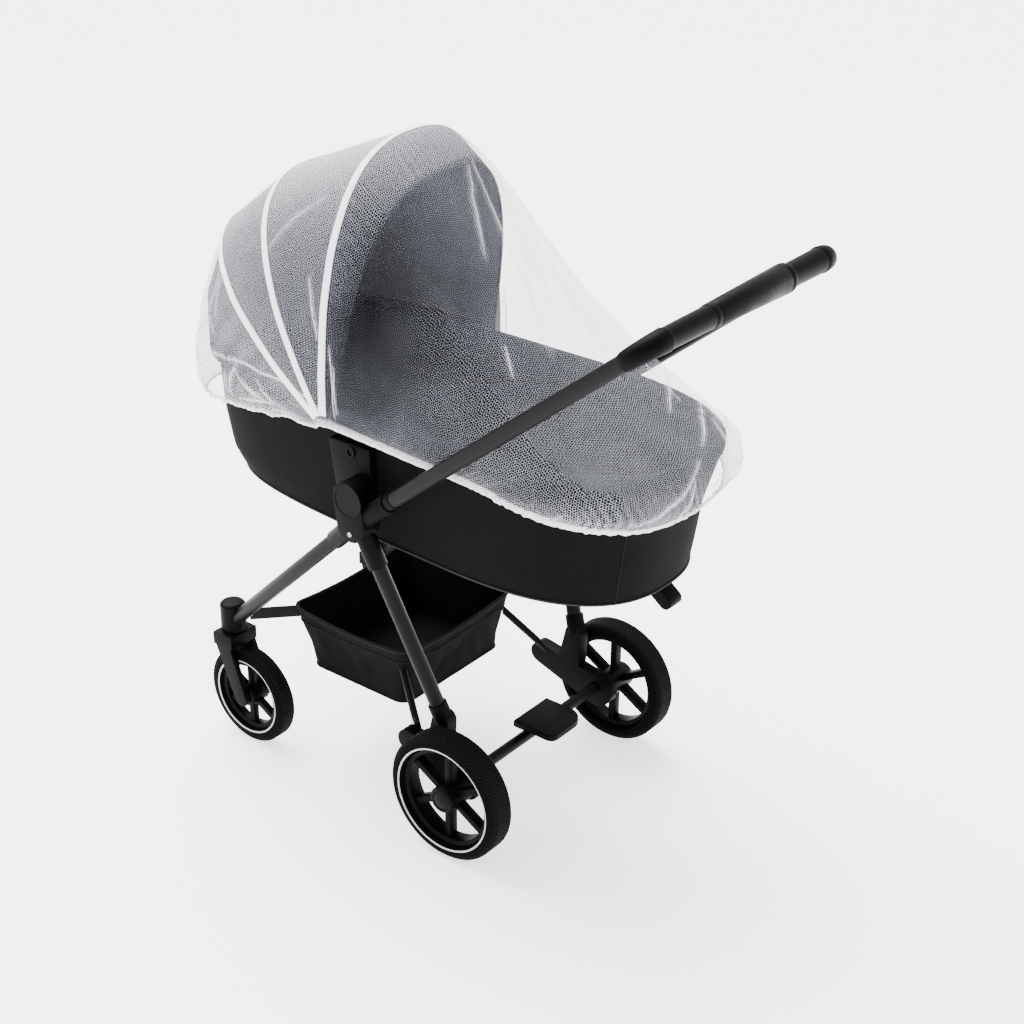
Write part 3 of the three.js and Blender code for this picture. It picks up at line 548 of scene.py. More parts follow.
NET_ROWS, NET_COLUMNS, NET_ROUNDNESS = 216, 440, 0.5
net_share = np.linspace(0, 1, NET_COLUMNS)
trial_place = np.linspace(0, len(NET) - 1, 1301)
trial_reach = lengths(cloth_grid(NET, trial_place, np.array([0.4]), NET_ROUNDNESS)[:, 0])
even_place = np.interp(np.linspace(0, trial_reach[-1], NET_ROWS), trial_reach, trial_place)
net_place = 0.75 * even_place + 0.25 * np.linspace(0, len(NET) - 1, NET_ROWS)
net_smooth = cloth_grid(NET, net_place, net_share, NET_ROUNDNESS)
net_normals = grid_normals(net_smooth)
print("net grid:", net_smooth.shape[:2])

# %% [markdown]
# Cloth that is drawn in by elastic creases in soft ridges that run away from the hem and
# fade out. The broad ones are in the solid as well, so their table is the same. Each row
# says where a crease starts and ends, as a place along the sections and a share of the
# way over, then its height and its width.

# %% Broad creases
CREASES = [
    # from place, from share, to place, to share, height, width
    (11.9, 0.36, 9.6, 0.46, 7, 0.035),
    (12.4, 0.30, 10.4, 0.33, 6, 0.030),
    (12.2, 0.46, 10.2, 0.58, 7, 0.035),
    (12.3, 0.64, 10.0, 0.70, 6, 0.035),
    (7.1, 0.40, 9.8, 0.30, 5, 0.030),
    (7.1, 0.55, 9.9, 0.66, 5, 0.030),
    (0.4, 0.24, 2.4, 0.20, 6, 0.030),
    (0.3, 0.40, 2.6, 0.43, 7, 0.030),
    (0.4, 0.56, 2.3, 0.52, 6, 0.030),
    (0.3, 0.74, 2.5, 0.78, 6, 0.030),
]
PLACE_TO_SHARE = 0.05


def broad_lift(place, share):
    lift = np.zeros(place.shape)
    for from_place, from_share, to_place, to_share, height, width in CREASES:
        run_x, run_y = (to_place - from_place) * PLACE_TO_SHARE, to_share - from_share
        x, y = (place - from_place) * PLACE_TO_SHARE, share - from_share
        along = np.clip((x * run_x + y * run_y) / (run_x**2 + run_y**2), 0, 1)
        away = np.hypot(x - along * run_x, y - along * run_y) / width
        lift += height * MM * np.sin(np.pi * (0.12 + 0.76 * along)) * np.exp(-away**2)
    return lift


# %% [markdown]
# The thin folds are where the tulle is pinched double. They were placed one by
# one, where the photograph shows them, and the far side has its own. Each is a path over
# the net, and the cloth rises towards it, by how far each point really is from the path.

# %% Thin folds
FOLDS = [
    # height, width, how doubled, points as (place, share)
    (2.2, 3.0, 0.45, [(5.64, 0.187), (5.71, 0.143), (5.81, 0.112)]),
    (2.5, 2.2, 0.40, [(6.45, 0.105), (6.91, 0.049), (7.14, 0.012)]),
    (2.0, 2.0, 0.30, [(6.81, 0.081), (7.19, 0.018)]),
    (1.5, 2.5, 0.35, [(6.12, 0.085), (6.16, 0.012)]),
    (2.2, 4.5, 0.28, [(7.11, 0.534), (7.41, 0.481), (7.64, 0.418)]),
    (1.8, 2.8, 0.30, [(8.37, 0.323), (8.64, 0.294)]),
    (3.0, 9.0, 0.16, [(7.31, 0.601), (7.97, 0.474), (8.6, 0.40)]),
    (3.0, 10.0, 0.14, [(7.59, 0.564), (8.57, 0.458)]),
    (3.0, 10.0, 0.14, [(8.04, 0.584), (8.87, 0.552)]),
    (2.4, 4.0, 0.22, [(7.05, 0.560), (7.60, 0.500), (8.40, 0.440)]),
    (2.4, 4.0, 0.22, [(7.10, 0.620), (8.20, 0.560), (9.30, 0.500)]),
    (2.4, 4.0, 0.20, [(7.10, 0.660), (8.60, 0.620), (9.90, 0.600)]),
    (2.0, 3.4, 0.25, [(3.16, 0.267), (2.78, 0.207)]),
    (2.0, 3.4, 0.25, [(3.81, 0.251), (3.21, 0.221)]),
    (2.5, 3.4, 0.30, [(2.20, 0.211), (1.28, 0.169)]),
    (2.5, 3.4, 0.35, [(2.43, 0.137), (1.68, 0.053)]),
    (2.5, 3.4, 0.35, [(0.83, 0.098), (1.83, 0.041)]),
    (2.0, 3.2, 0.35, [(1.15, 0.031), (1.78, 0.011)]),
    (2.2, 3.2, 0.40, [(1.85, 0.191), (1.23, 0.171)]),
    (2.2, 3.2, 0.45, [(2.58, 0.140), (1.70, 0.132), (0.80, 0.115)]),
    (2.0, 3.0, 0.30, [(2.13, 0.152), (1.00, 0.128)]),
    (2.4, 3.2, 0.40, [(2.68, 0.097), (2.30, 0.062), (1.93, 0.033)]),
    (2.0, 3.0, 0.30, [(2.35, 0.109), (1.80, 0.078), (1.18, 0.052)]),
    (2.0, 5.0, 0.20, [(2.58, 0.238), (3.53, 0.249), (3.98, 0.265)]),
    (2.2, 3.0, 0.40, [(10.50, 0.636), (11.50, 0.543), (12.60, 0.560)]),
    (2.2, 3.0, 0.35, [(11.12, 0.645), (12.02, 0.653), (12.80, 0.655)]),
    (2.0, 6.0, 0.14, [(5.10, 0.235), (5.46, 0.271), (5.70, 0.290)]),
    (2.6, 3.0, 0.35, [(9.42, 0.691), (9.82, 0.563), (9.99, 0.530)]),
    (2.6, 3.0, 0.45, [(10.20, 0.660), (10.45, 0.590), (10.72, 0.505)]),
    (3.0, 3.4, 0.42, [(10.95, 0.465), (11.57, 0.383), (11.75, 0.348), (12.35, 0.288)]),
    (3.0, 3.4, 0.42, [(11.35, 0.570), (11.67, 0.495), (12.40, 0.483), (12.85, 0.490)]),
    (2.4, 3.2, 0.40, [(12.40, 0.480), (12.70, 0.440), (12.90, 0.390)]),
    (2.5, 5.0, 0.25, [(10.19, 0.663), (10.90, 0.638)]),
    (2.4, 3.4, 0.35, [(11.40, 0.430), (12.30, 0.395), (12.80, 0.400)]),
    # the side and the end that the photograph doesn't show
    (2.2, 3.2, 0.35, [(6.60, 0.915), (6.95, 0.955), (7.10, 0.985)]),
    (2.2, 3.2, 0.35, [(5.60, 0.800), (5.72, 0.860), (5.85, 0.905)]),
    (2.5, 3.4, 0.30, [(2.30, 0.800), (1.30, 0.842)]),
    (2.5, 3.4, 0.35, [(2.35, 0.873), (1.60, 0.950)]),
    (2.5, 3.4, 0.35, [(0.75, 0.885), (1.90, 0.962)]),
    (2.6, 3.4, 0.30, [(0.50, 0.345), (1.80, 0.325)]),
    (2.6, 3.4, 0.30, [(0.45, 0.455), (1.85, 0.472)]),
    (2.6, 3.4, 0.30, [(0.50, 0.548), (1.75, 0.520)]),
    (2.6, 3.4, 0.30, [(0.60, 0.655), (1.90, 0.678)]),
    (2.6, 3.2, 0.35, [(11.20, 0.640), (12.30, 0.705)]),
    (2.8, 3.4, 0.35, [(10.70, 0.760), (12.60, 0.835)]),
    (2.4, 3.2, 0.35, [(11.50, 0.850), (12.80, 0.900)]),
    (2.2, 3.2, 0.30, [(11.90, 0.160), (12.85, 0.130)]),
]
SEAM = (0.8, 1.9, 0.42, [
    (5.60, 0.016), (4.43, 0.043), (3.13, 0.102), (2.53, 0.162), (2.08, 0.265), (2.0, 0.40),
    (2.0, 0.60), (2.08, 0.735), (2.53, 0.838), (3.13, 0.898), (4.43, 0.957), (5.60, 0.984)])
FOLD_STEPS = 10
GLOW = 0.62


def on_net(points):
    """The points of a fold, joined by short steps over the net's surface."""
    route = np.array(points)
    stops = np.arange(len(route))
    fine = np.linspace(0, len(route) - 1, (len(route) - 1) * FOLD_STEPS + 1)
    places, shares = (np.interp(fine, stops, route[:, k]) for k in (0, 1))
    spots = [cloth_grid(NET, [a], np.array([b]), NET_ROUNDNESS)[0, 0] for a, b in zip(places, shares)]
    return np.array(spots)


def fold_field(points, width, grid):
    """How near each point of the grid lies to the fold, fading out at the fold's ends."""
    path = on_net(points)
    reach = lengths(path)
    nearest = np.full(grid.shape[:2], 9.0)
    share = np.zeros(grid.shape[:2])
    for a, b, start, end in zip(path[:-1], path[1:], reach[:-1], reach[1:]):
        run = b - a
        along = np.clip(np.sum((grid - a) * run, axis=-1) / np.dot(run, run), 0, 1)
        away = np.linalg.norm(grid - a - along[..., None] * run, axis=-1)
        closer = away < nearest
        nearest[closer] = away[closer]
        share[closer] = (start + (end - start) * along[closer]) / reach[-1]
    return np.exp(-((nearest / (width * MM)) ** 2)), np.sin(np.pi * (0.08 + 0.84 * share)) ** 0.6


place_grid, share_grid = np.meshgrid(net_place, net_share, indexing="ij")
main_lift = broad_lift(place_grid, share_grid)
fold_lift = np.zeros(place_grid.shape)
doubled = np.zeros(place_grid.shape)
for height, width, strength, points in FOLDS:
    near, fade = fold_field(points, width, net_smooth)
    fold_lift += height * MM * near * fade
    doubled += GLOW * strength * near * fade
near, _ = fold_field(SEAM[3], SEAM[1], net_smooth)
doubled += SEAM[2] * near
print("folds:", len(FOLDS))

# %% [markdown]
# An elastic draws the edge in, so it ripples, and the ripple dies away from the edge. The
# waves of a ripple wander in length and size: no two gathers of real cloth are alike.


# %% Gathers at the hem
def ripple(share, waves, phase):
    wander = 1.7 * np.sin(2 * np.pi * share * 3 + phase) + 0.9 * np.sin(2 * np.pi * share * 7 + 2 * phase)
    size = 0.65 + 0.35 * np.sin(2 * np.pi * share * 5 + 3 * phase)
    return size * np.sin(2 * np.pi * waves * share + wander)


head_edge = np.exp(-((place_grid / 0.8) ** 2))
foot_edge = np.exp(-(((len(NET) - 1 - place_grid) / 0.8) ** 2))
side_edge = np.exp(-((np.minimum(share_grid, 1 - share_grid) / 0.016) ** 2))
gathers = (
    head_edge * (ripple(share_grid, 27, 0.4) * 3.4 + ripple(share_grid, 61, 1.1) * 0.8) * MM
    + foot_edge * (ripple(share_grid, 38, 1.9) * 1.3 + ripple(share_grid, 90, 0.2) * 0.5) * MM
    + side_edge * ripple(place_grid / 13, 60, 2.8) * 0.5 * MM)
limp = uneven(net_smooth, 15) + 0.5 * uneven(net_smooth, 38)
free_cloth = np.clip(np.abs(place_grid - 5.0) - 1.2, 0.12, 1)
net_lift = main_lift + fold_lift + gathers + limp * free_cloth * 1.3 * MM
net_grid = net_smooth + net_normals * net_lift[..., None]
print("tallest crease: %.1f mm" % (net_lift.max() / MM))

# %% [markdown]
# The sheet is one surface. An attribute on it says how doubled the tulle is:
# most at the hem, along the seam of the head end and on the folds, and over the hood it lies
# in fuller gathers. The same attribute holds painted light: it is raised where the net faces
# up, on the hood, the brim and the front, which paints the light from above, and lowered in a
# patch on the near side in front of the visor, which paints shade there.


# %% Net sheet
def hem_path(grid):
    """Once round the edge of the sheet."""
    near, far = grid[:, 0], grid[:, -1]
    return np.concatenate([grid[0, ::-1], near[1:], grid[-1, 1:], far[::-1][1:-1]])


def search_tree(points):
    tree = KDTree(len(points))
    for k, point in enumerate(points):
        tree.insert(point, k)
    tree.balance()
    return tree


def distance_to(path, grid):
    tree = search_tree(path)
    return np.array([tree.find(point)[2] for point in grid.reshape(-1, 3)]).reshape(grid.shape[:2])


def rise(value, low, high):
    return np.clip((value - low) / (high - low), 0, 1)


def bell(value, middle, width):
    return np.exp(-(((value - middle) / width) ** 2))


upward_share = np.clip(net_normals[..., 2], 0, 1)
over_hood = rise(place_grid, 2.4, 3.0) * rise(place_grid, 6.12, 6.0)
skirt = rise(place_grid, 2.9, 2.1)
front = 1 - np.maximum(over_hood, skirt)
brim = rise(place_grid, 6.0, 6.08) * rise(place_grid, 7.1, 6.92)
streaks = 0.5 + 0.5 * ripple(share_grid, 30, 0.9)
fanned = share_grid + 0.012 * np.sin(place_grid * 1.9)
fine_streaks = np.clip(0.5 + 0.5 * ripple(fanned, 52, 2.3), 0, 1)

# The upward_share terms are painted light from above: the net is made whiter and denser where it faces up.
# The last term thins the net in a patch on the near side in front of the visor, which is painted shade.
sheer_and_light_map = (
    over_hood * (0.03 + 0.05 * rise(place_grid, 5.2, 4.2) + 0.34 * upward_share**2.2)
    + over_hood * 0.06 * streaks * rise(place_grid, 4.4, 3.2)
    + skirt * (0.09 + 0.13 * streaks * fine_streaks)
    + front * (0.02 * rise(place_grid, 7.8, 9.6) + 0.02 * upward_share)
    + front * rise(place_grid, 10.9, 12.2) * 0.13 * fine_streaks
    + brim * (0.11 * upward_share**1.6 + 0.07 * fine_streaks * upward_share)
    - 0.085 * bell(place_grid, 7.2, 0.8) * bell(share_grid, 0.18, 0.14))
hem_distance = distance_to(hem_path(net_grid), net_grid)
hem_band = rise(hem_distance, 13.5 * MM, 9.5 * MM)
at_head = rise(place_grid, 5.5, 2.0)
hem_streaks = ripple(share_grid, 150, 0.3) + ripple(place_grid / 13, 190, 1.0)
sheer_and_light_map += hem_band * (0.42 - 0.30 * at_head + 0.07 * hem_streaks)
sheer_and_light_map += 0.10 * rise(hem_distance, 40 * MM, 12 * MM) * np.clip(hem_streaks, 0, 1)
gathers_and_light_share = np.clip(sheer_and_light_map + doubled, -0.1, 1)

net_piece = new_piece(
    "net_sheet", net_grid, grid_faces(NET_ROWS, NET_COLUMNS), tulle.material,
    uv=metric_map(net_grid), sharp=180)
for label, values in (("gathers_and_light", gathers_and_light_share), ("steepness", np.abs(net_normals[..., 1]))):
    net_piece.data.attributes.new(label, "FLOAT", "POINT").data.foreach_set("value", values.ravel())


# %% [markdown]
# Along its crest each thin fold is pinched double, so a whiter line runs there. It is a
# narrow strip of the same tulle, laid just over the sheet, and it thins out to its ends.


# %% Pinched edges of the folds
def normal_finder(grid, normals):
    """A function that gives the nearest point of the grid and the normal there."""
    tree = search_tree(grid.reshape(-1, 3))
    listed = normals.reshape(-1, 3)

    def nearest(point):
        spot, number, _ = tree.find(point)
        return np.array(spot), listed[number]

    return nearest


PINCH_WIDTH, PINCH_LIFT = 1.3 * MM, 0.9 * MM
on_cloth = normal_finder(net_grid, net_normals)


def pinch(points, strength):
    """The doubled edge of a fold: a narrow strip on the cloth that thins to its ends."""
    route = on_net(points)
    reach = lengths(route)
    stops = np.linspace(0, reach[-1], max(int(reach[-1] / (4 * MM)), 6))
    route = np.stack([np.interp(stops, reach, route[:, k]) for k in range(3)], axis=-1)
    found = [on_cloth(point) for point in route]
    normals = np.array([normal for _, normal in found])
    raise_by = np.array([np.dot(spot - point, normal) for (spot, normal), point in zip(found, route)])
    centre = route + normals * (raise_by + PINCH_LIFT)[:, None]
    run = np.gradient(centre, axis=0)
    sideways = unit(np.cross(run, normals))
    share = stops / reach[-1]
    width = PINCH_WIDTH * (0.35 + strength) * np.sin(np.pi * (0.03 + 0.94 * share)) ** 0.7
    waver = uneven(centre, 55)[:, None] * 1.2 * MM
    rows = [centre + sideways * (waver + side * width[:, None]) for side in (-1, 0, 1)]
    rows[1] = rows[1] + normals * 0.5 * MM
    strip = np.stack(rows, axis=1)
    uv = np.stack([np.zeros(strip.shape[:2]), np.repeat(stops[:, None], 3, axis=1)], axis=-1)
    return new_piece("pinch", strip, grid_faces(len(centre), 3), pinch_white.material, uv=uv, sharp=180)


pinches = [pinch(points, strength) for _, _, strength, points in FOLDS]
pinches.append(pinch(SEAM[3], SEAM[2]))
pinch_piece = joined("net_pinches", pinches)
print("pinches:", len(pinches))

# %% [markdown]
# An elastic cord runs in the hem's edge, so the edge is a thin roll drawn into small
# puckers. It follows the edge of the sheet: a ring swept round it, flattened, and
# swelling and shrinking with the gathers.


# %% Rolled edge of the hem
def even_steps(path, count):
    """The closed path at equal steps."""
    loop = np.concatenate([path, path[:1]])
    reach = lengths(loop)
    wanted = np.linspace(0, reach[-1], count, endpoint=False)
    return np.stack([np.interp(wanted, reach, loop[:, k]) for k in range(3)], axis=-1), reach[-1]


HEM_STEPS, HEM_SIDES = 1500, 8
HEM_HALF_HEIGHT, HEM_HALF_DEPTH, HEM_RAISED = 2.8 * MM, 1.7 * MM, 1.8 * MM
HEM_MIDDLE = (0.03, 0.0, 0.0)
hem_line, hem_length = even_steps(hem_path(net_grid), HEM_STEPS)
step = np.linspace(0, 1, HEM_STEPS, endpoint=False)
pucker = 1 + 0.16 * ripple(step, 210, 0.7) + 0.10 * ripple(step, 77, 2.1)
wobble = ripple(step, 95, 1.3) * 0.5 * MM
hem_tangent = unit(np.roll(hem_line, -2, axis=0) - np.roll(hem_line, 2, axis=0))
outward = hem_line - HEM_MIDDLE
outward[:, 2] = 0
outward = unit(outward - hem_tangent * np.sum(outward * hem_tangent, axis=1, keepdims=True))
upward = np.cross(hem_tangent, outward)
upward *= np.sign(upward[:, 2:3])
hem_rings = []
for turn in np.linspace(0, 2 * np.pi, HEM_SIDES, endpoint=False):
    hem_rings.append(
        hem_line + outward * (np.cos(turn) * HEM_HALF_DEPTH * pucker + wobble)[:, None]
        + upward * (np.sin(turn) * HEM_HALF_HEIGHT * pucker + HEM_RAISED)[:, None])
hem_faces = grid_faces(HEM_STEPS, HEM_SIDES, closed=True, looped=True)
hem_uv = np.stack(np.meshgrid(step * hem_length, np.linspace(0, 0.03, HEM_SIDES), indexing="ij"), axis=-1)
hem_piece = new_piece("net_hem", np.stack(hem_rings, axis=1), hem_faces, hem_white.material,
                      uv=hem_uv, sharp=180)
face_outwards(hem_piece)
print("hem: %.2f m round" % hem_length)

# %% [markdown]
# Three tapes are sewn over the net along the bows. A tape is a flat strip, a millimetre
# proud of the net, with a line of stitches near each edge.

# %% Tapes
TAPE_HALF, TAPE_LIFT, TAPE_THICKNESS = 7.0 * MM, 1.4 * MM, 0.9 * MM
TAPE_ACROSS = (-1.0, -0.86, -0.4, 0.0, 0.4, 0.86, 1.0)
TAPE_CROWN = (0.0, 0.75, 1.0, 0.92, 1.0, 0.75, 0.0)
TAPE_START, TAPE_STEPS = 0.010, 300
TAPE_SPACING, TAPE_STITCH, TAPE_THREAD = 4.2 * MM, 3.0 * MM, 0.35 * MM
TAPES = {"tape_rear": 4, "tape_middle": 5, "tape_main": 6}


def tape_strip(bow):
    """The tape's middle line, the directions across it and out of it, its waver and its reach."""
    share = np.linspace(TAPE_START, 1 - TAPE_START, TAPE_STEPS)
    before, centre, after = cloth_grid(NET, [bow - 0.04, bow, bow + 0.04], share, NET_ROUNDNESS)
    run = unit(np.gradient(centre, axis=0))
    sideways = unit(after - before)
    sideways = unit(sideways - run * np.sum(sideways * run, axis=1, keepdims=True))
    reach = lengths(centre)
    waver = uneven([(bow * 9, r * 14, 0) for r in reach], 1) * 1.3 * MM
    return centre, sideways, np.cross(sideways, run), waver, reach


def make_tape(name, bow):
    centre, sideways, out, waver, reach = tape_strip(bow)
    rows = []
    for across, crown in zip(TAPE_ACROSS, TAPE_CROWN):
        rows.append(
            centre + sideways * (across * TAPE_HALF + waver)[:, None]
            + out * (TAPE_LIFT + crown * TAPE_THICKNESS * 0.5))
    top = np.stack(rows, axis=1)
    under = (top - out[:, None, :] * TAPE_THICKNESS)[:, ::-1]
    ring = np.concatenate([top, under], axis=1)
    count, width = ring.shape[:2]
    faces = grid_faces(count, width, closed=True) + end_caps(count, width)
    uv = np.stack(np.meshgrid(reach, np.linspace(0, 0.026, width), indexing="ij"), axis=-1)
    piece = new_piece(name, ring, faces, tape_white.material, uv=uv)
    return face_outwards(piece), centre, sideways, out, waver


# %% [markdown]
# A row of stitches follows a path, which is what Geometry Nodes does well: a curve is
# resampled at the stitch length, one small thread is instanced at each point and turned
# along the curve, and the instances are realized. The tree's inputs are the stitch's
# spacing, its length and its thickness.


# %% Stitches by Geometry Nodes
def node_group(name, inputs, nodes, settings, links):
    """A tree that grows a mesh. A setting is node.property, and a link joins node.socket to another."""
    tree = bpy.data.node_groups.new(name, "GeometryNodeTree")
    for label, kind, value in inputs:
        item = tree.interface.new_socket(label, in_out="INPUT", socket_type="NodeSocket" + kind)
        if value is not None:
            item.default_value = value
    tree.interface.new_socket("Geometry", in_out="OUTPUT", socket_type="NodeSocketGeometry")
    made = {label: tree.nodes.new(kind) for label, kind in nodes.items()}
    for where, value in settings.items():
        label, property_name = where.split(".")
        setattr(made[label], property_name, value)
    for source, target in links:
        giver, output = source.split(".")
        taker, entry = target.split(".")
        tree.links.new(made[giver].outputs[output], made[taker].inputs[entry])
    return tree, made


# The end of both trees: instances turned by a direction, realized, and given their finish
LAYING = {
    "in": "NodeGroupInput", "out": "NodeGroupOutput", "points": "GeometryNodeResampleCurve",
    "lay": "GeometryNodeInstanceOnPoints", "turn": "FunctionNodeAlignRotationToVector",
    "real": "GeometryNodeRealizeInstances", "paint": "GeometryNodeSetMaterial"}
LAYING_LINKS = [
    ("points.Curve", "lay.Points"), ("turn.Rotation", "lay.Rotation"), ("lay.Instances", "real.Geometry"),
    ("real.Geometry", "paint.Geometry"), ("in.Finish", "paint.Material"), ("paint.Geometry", "out.Geometry")]

STITCH_TREE, stitch_nodes = node_group(
    "stitch_row",
    [("Geometry", "Geometry", None), ("Spacing", "Float", 0.005), ("Length", "Float", 0.0032),
     ("Thickness", "Float", 0.0007), ("Finish", "Material", None)],
    {**LAYING, "thread": "GeometryNodeMeshCylinder", "tangent": "GeometryNodeInputTangent"},
    {"points.mode": "LENGTH", "turn.axis": "Z"},
    [("in.Geometry", "points.Curve"), ("in.Spacing", "points.Length"), ("in.Length", "thread.Depth"),
     ("in.Thickness", "thread.Radius"), ("tangent.Tangent", "turn.Vector"), ("thread.Mesh", "lay.Instance"),
     *LAYING_LINKS])
stitch_nodes["thread"].inputs["Vertices"].default_value = 5


def grown(holder, tree, material, sizes):
    """The mesh that the tree grows on the holder, which is then removed."""
    modifier = holder.modifiers.new(tree.name, "NODES")
    modifier.node_group = tree
    sockets = {item.name: item.identifier for item in tree.interface.items_tree if item.in_out == "INPUT"}
    for label, value in {**sizes, "Finish": material}.items():
        modifier[sockets[label]] = value
    mesh = plain_mesh(holder)
    bpy.data.objects.remove(holder)
    return mesh


def stitches(name, path, material, **sizes):
    """A row of stitches along a path, as a plain mesh."""
    curve = bpy.data.curves.new(name + "_path", "CURVE")
    curve.dimensions = "3D"
    spline = curve.splines.new("POLY")
    spline.points.add(len(path) - 1)
    spline.points.foreach_set("co", np.c_[path, np.ones(len(path))].ravel())
    mesh = grown(stand(name + "_path", curve), STITCH_TREE, material, sizes)
    if not mesh.materials:
        mesh.materials.append(material)
    return shade(stand(name, mesh), 60)


tape_pieces = {}
for name, bow in TAPES.items():
    piece, centre, sideways, out, waver = make_tape(name, bow)
    rows = []
    for side in (-0.72, 0.72):
        path = centre + sideways * (side * TAPE_HALF + waver)[:, None] + out * (TAPE_LIFT + 0.5 * MM)
        rows.append(stitches(f"{name}_stitch", path, tape_white.material, Spacing=TAPE_SPACING,
                             Length=TAPE_STITCH, Thickness=TAPE_THREAD))
    tape_pieces[name] = joined(f"{name}_binding", [piece, *rows])
    print(name, "polygons:", len(tape_pieces[name].data.polygons))

# %% Net, hem and tapes take their places
for name in TAPES:
    settle(tape_pieces[name], "net_tape", name)
settle(hem_piece, "net_mesh")
settle(pinch_piece, "net_mesh")
settle(net_piece, "net_mesh", "net")

# %% [markdown]
# The hood is canvas stretched over three bows and a lower edge. Between the bows it dips
# a little, and each bow shows as a soft ridge. Its inside is a smooth dark
# lining. A Solidify modifier gives the sheet its thickness.

# %% Hood
HOOD_ROWS, HOOD_COLUMNS, HOOD_ROUNDNESS = 90, 150, 0.36
HOOD_DIP, HOOD_THICKNESS = 2.2 * MM, 2.4 * MM
hood_place = np.linspace(0, len(HOOD) - 1, HOOD_ROWS)
hood_share = np.linspace(0, 1, HOOD_COLUMNS)
hood_smooth = cloth_grid(HOOD, hood_place, hood_share, HOOD_ROUNDNESS)
hood_normals = grid_normals(hood_smooth)
between_bows = np.abs(np.sin(np.pi * np.clip(hood_place, 1, 4)))
hood_grid = hood_smooth - hood_normals * (between_bows * HOOD_DIP)[:, None, None]
hood_piece = new_piece(
    "hood_canopy", hood_grid, grid_faces(HOOD_ROWS, HOOD_COLUMNS), [HOOD_CLOTH, LINING],
    uv=metric_map(hood_grid), sharp=180)
thicken = hood_piece.modifiers.new("canvas", "SOLIDIFY")
thicken.thickness = HOOD_THICKNESS
thicken.offset = -1
thicken.material_offset = 1
hood_mesh = plain_mesh(hood_piece)
hood_piece.modifiers.clear()
hood_piece.data = hood_mesh
settle(hood_piece, "hood_cloth", "hood")

# %% [markdown]
# A bound edge, a piping or a bow's casing is a round or flat ring swept along a path. The
# ring is carried from point to point without twisting.


# %% Sweep helper
def sweep(name, path, radius, material, sides=16, closed=False, flat=1.0):
    """A tube along a path. The radius may be one number or one for each point."""
    path = np.asarray(path, float)
    count = len(path)
    radius = np.broadcast_to(radius, (count,))
    if closed:
        tangent = np.roll(path, -1, axis=0) - np.roll(path, 1, axis=0)
    else:
        tangent = np.gradient(path, axis=0)
    tangent = unit(tangent)
    side = np.cross(tangent[0], (0, 0, 1) if abs(tangent[0][2]) < 0.9 else (1, 0, 0))
    sides_at = []
    for ahead in tangent:
        side = unit(side - ahead * np.dot(side, ahead))
        sides_at.append(side)
    sides_at = np.array(sides_at)
    other = np.cross(tangent, sides_at)
    turns = np.linspace(0, 2 * np.pi, sides, endpoint=False)
    rings = (
        path[:, None]
        + sides_at[:, None] * (np.cos(turns)[None, :, None] * radius[:, None, None])
        + other[:, None] * (np.sin(turns)[None, :, None] * radius[:, None, None] * flat))
    faces = grid_faces(count, sides, closed=True, looped=closed)
    if not closed:
        faces += end_caps(count, sides)
    uv = np.stack(np.meshgrid(lengths(path), turns * radius.mean(), indexing="ij"), axis=-1)
    return face_outwards(new_piece(name, rings, faces, material, uv=uv, sharp=50))


HOOD_SEAT_Z = 0.7360
front_edge = hood_grid[-1]
lower_edge = np.concatenate([hood_grid[::-1, 0], hood_grid[0, 1:], hood_grid[1:, -1]])
lower_edge[:, 2] = np.minimum(lower_edge[:, 2], HOOD_SEAT_Z)
edge_binding = joined("hood_binding", [
    sweep("front_binding", front_edge - hood_normals[-1] * 1.2 * MM, 2.6 * MM, BINDING, sides=10),
    sweep("lower_binding", lower_edge, 1.4 * MM, BINDING, sides=8, flat=4.6)])
settle(edge_binding, "hood_cloth")
print("binding: %.2f m" % (lengths(front_edge)[-1] + lengths(lower_edge)[-1]))

# %% [markdown]
# The carrycot is a board and foam shell in a black cover. Its plan is a rounded oblong,
# squarer at the head than at the foot, and its wall leans out. A table of levels gives
# the wall. The cover has a piping at its foot and the wall's panels pucker slightly.

# %% Carrycot levels
COT_LEVELS = {
    # name: z at the head, z at the foot, x of the head, x of the foot, half width
    "underside": (524, 494, -378, 417, 190),
    "piping": (530, 500, -394, 427, 197),
    "lower wall": (564, 540, -422, 433, 201),
    "middle wall": (632, 620, -436, 446, 205),
    "wall top": (720, 720, -440, 478, 208),
}
COT_WIDEST_X, COT_STEPS = 120, 220
HEAD_SQUARENESS, FOOT_SQUARENESS = 4.4, 2.5


def plan_ring(level, inset=0.0, lift=0.0):
    head_z, foot_z, head, foot, half = level
    turn = np.linspace(0, 2 * np.pi, COT_STEPS, endpoint=False)
    turn = turn - 0.22 * np.sin(4 * turn) / 4
    headwards = np.cos(turn) < 0
    reach = np.where(headwards, COT_WIDEST_X - head, foot - COT_WIDEST_X)
    power = np.where(headwards, 2 / HEAD_SQUARENESS, 2 / FOOT_SQUARENESS)
    along = np.sign(np.cos(turn)) * np.abs(np.cos(turn)) ** power
    across = np.sign(np.sin(turn)) * np.abs(np.sin(turn)) ** power
    x = COT_WIDEST_X + (reach - inset) * along
    slope = (x - head) / (foot - head)
    z = head_z + (foot_z - head_z) * slope + lift
    return np.stack([x * MM + SHIFT_X, (half - inset) * across * MM, z * MM], axis=-1)


WALL_ROWS, WALL_STOPS = 34, [0.0, 0.19, 0.53, 1.0]
WALL_PUCKER, WALL_TUCK = 1.0 * MM, 1.6 * MM


def level_at(share):
    """The wall's level at a share of its height, from the piping to the top."""
    table = np.array(list(COT_LEVELS.values())[1:], float)
    return tuple(np.interp(share, WALL_STOPS, column) for column in table.T)


def away_from_middle(rings):
    """The level direction from the middle of each ring to each of its points."""
    out = rings - rings.mean(axis=1, keepdims=True)
    out[..., 2] = 0
    return unit(out)


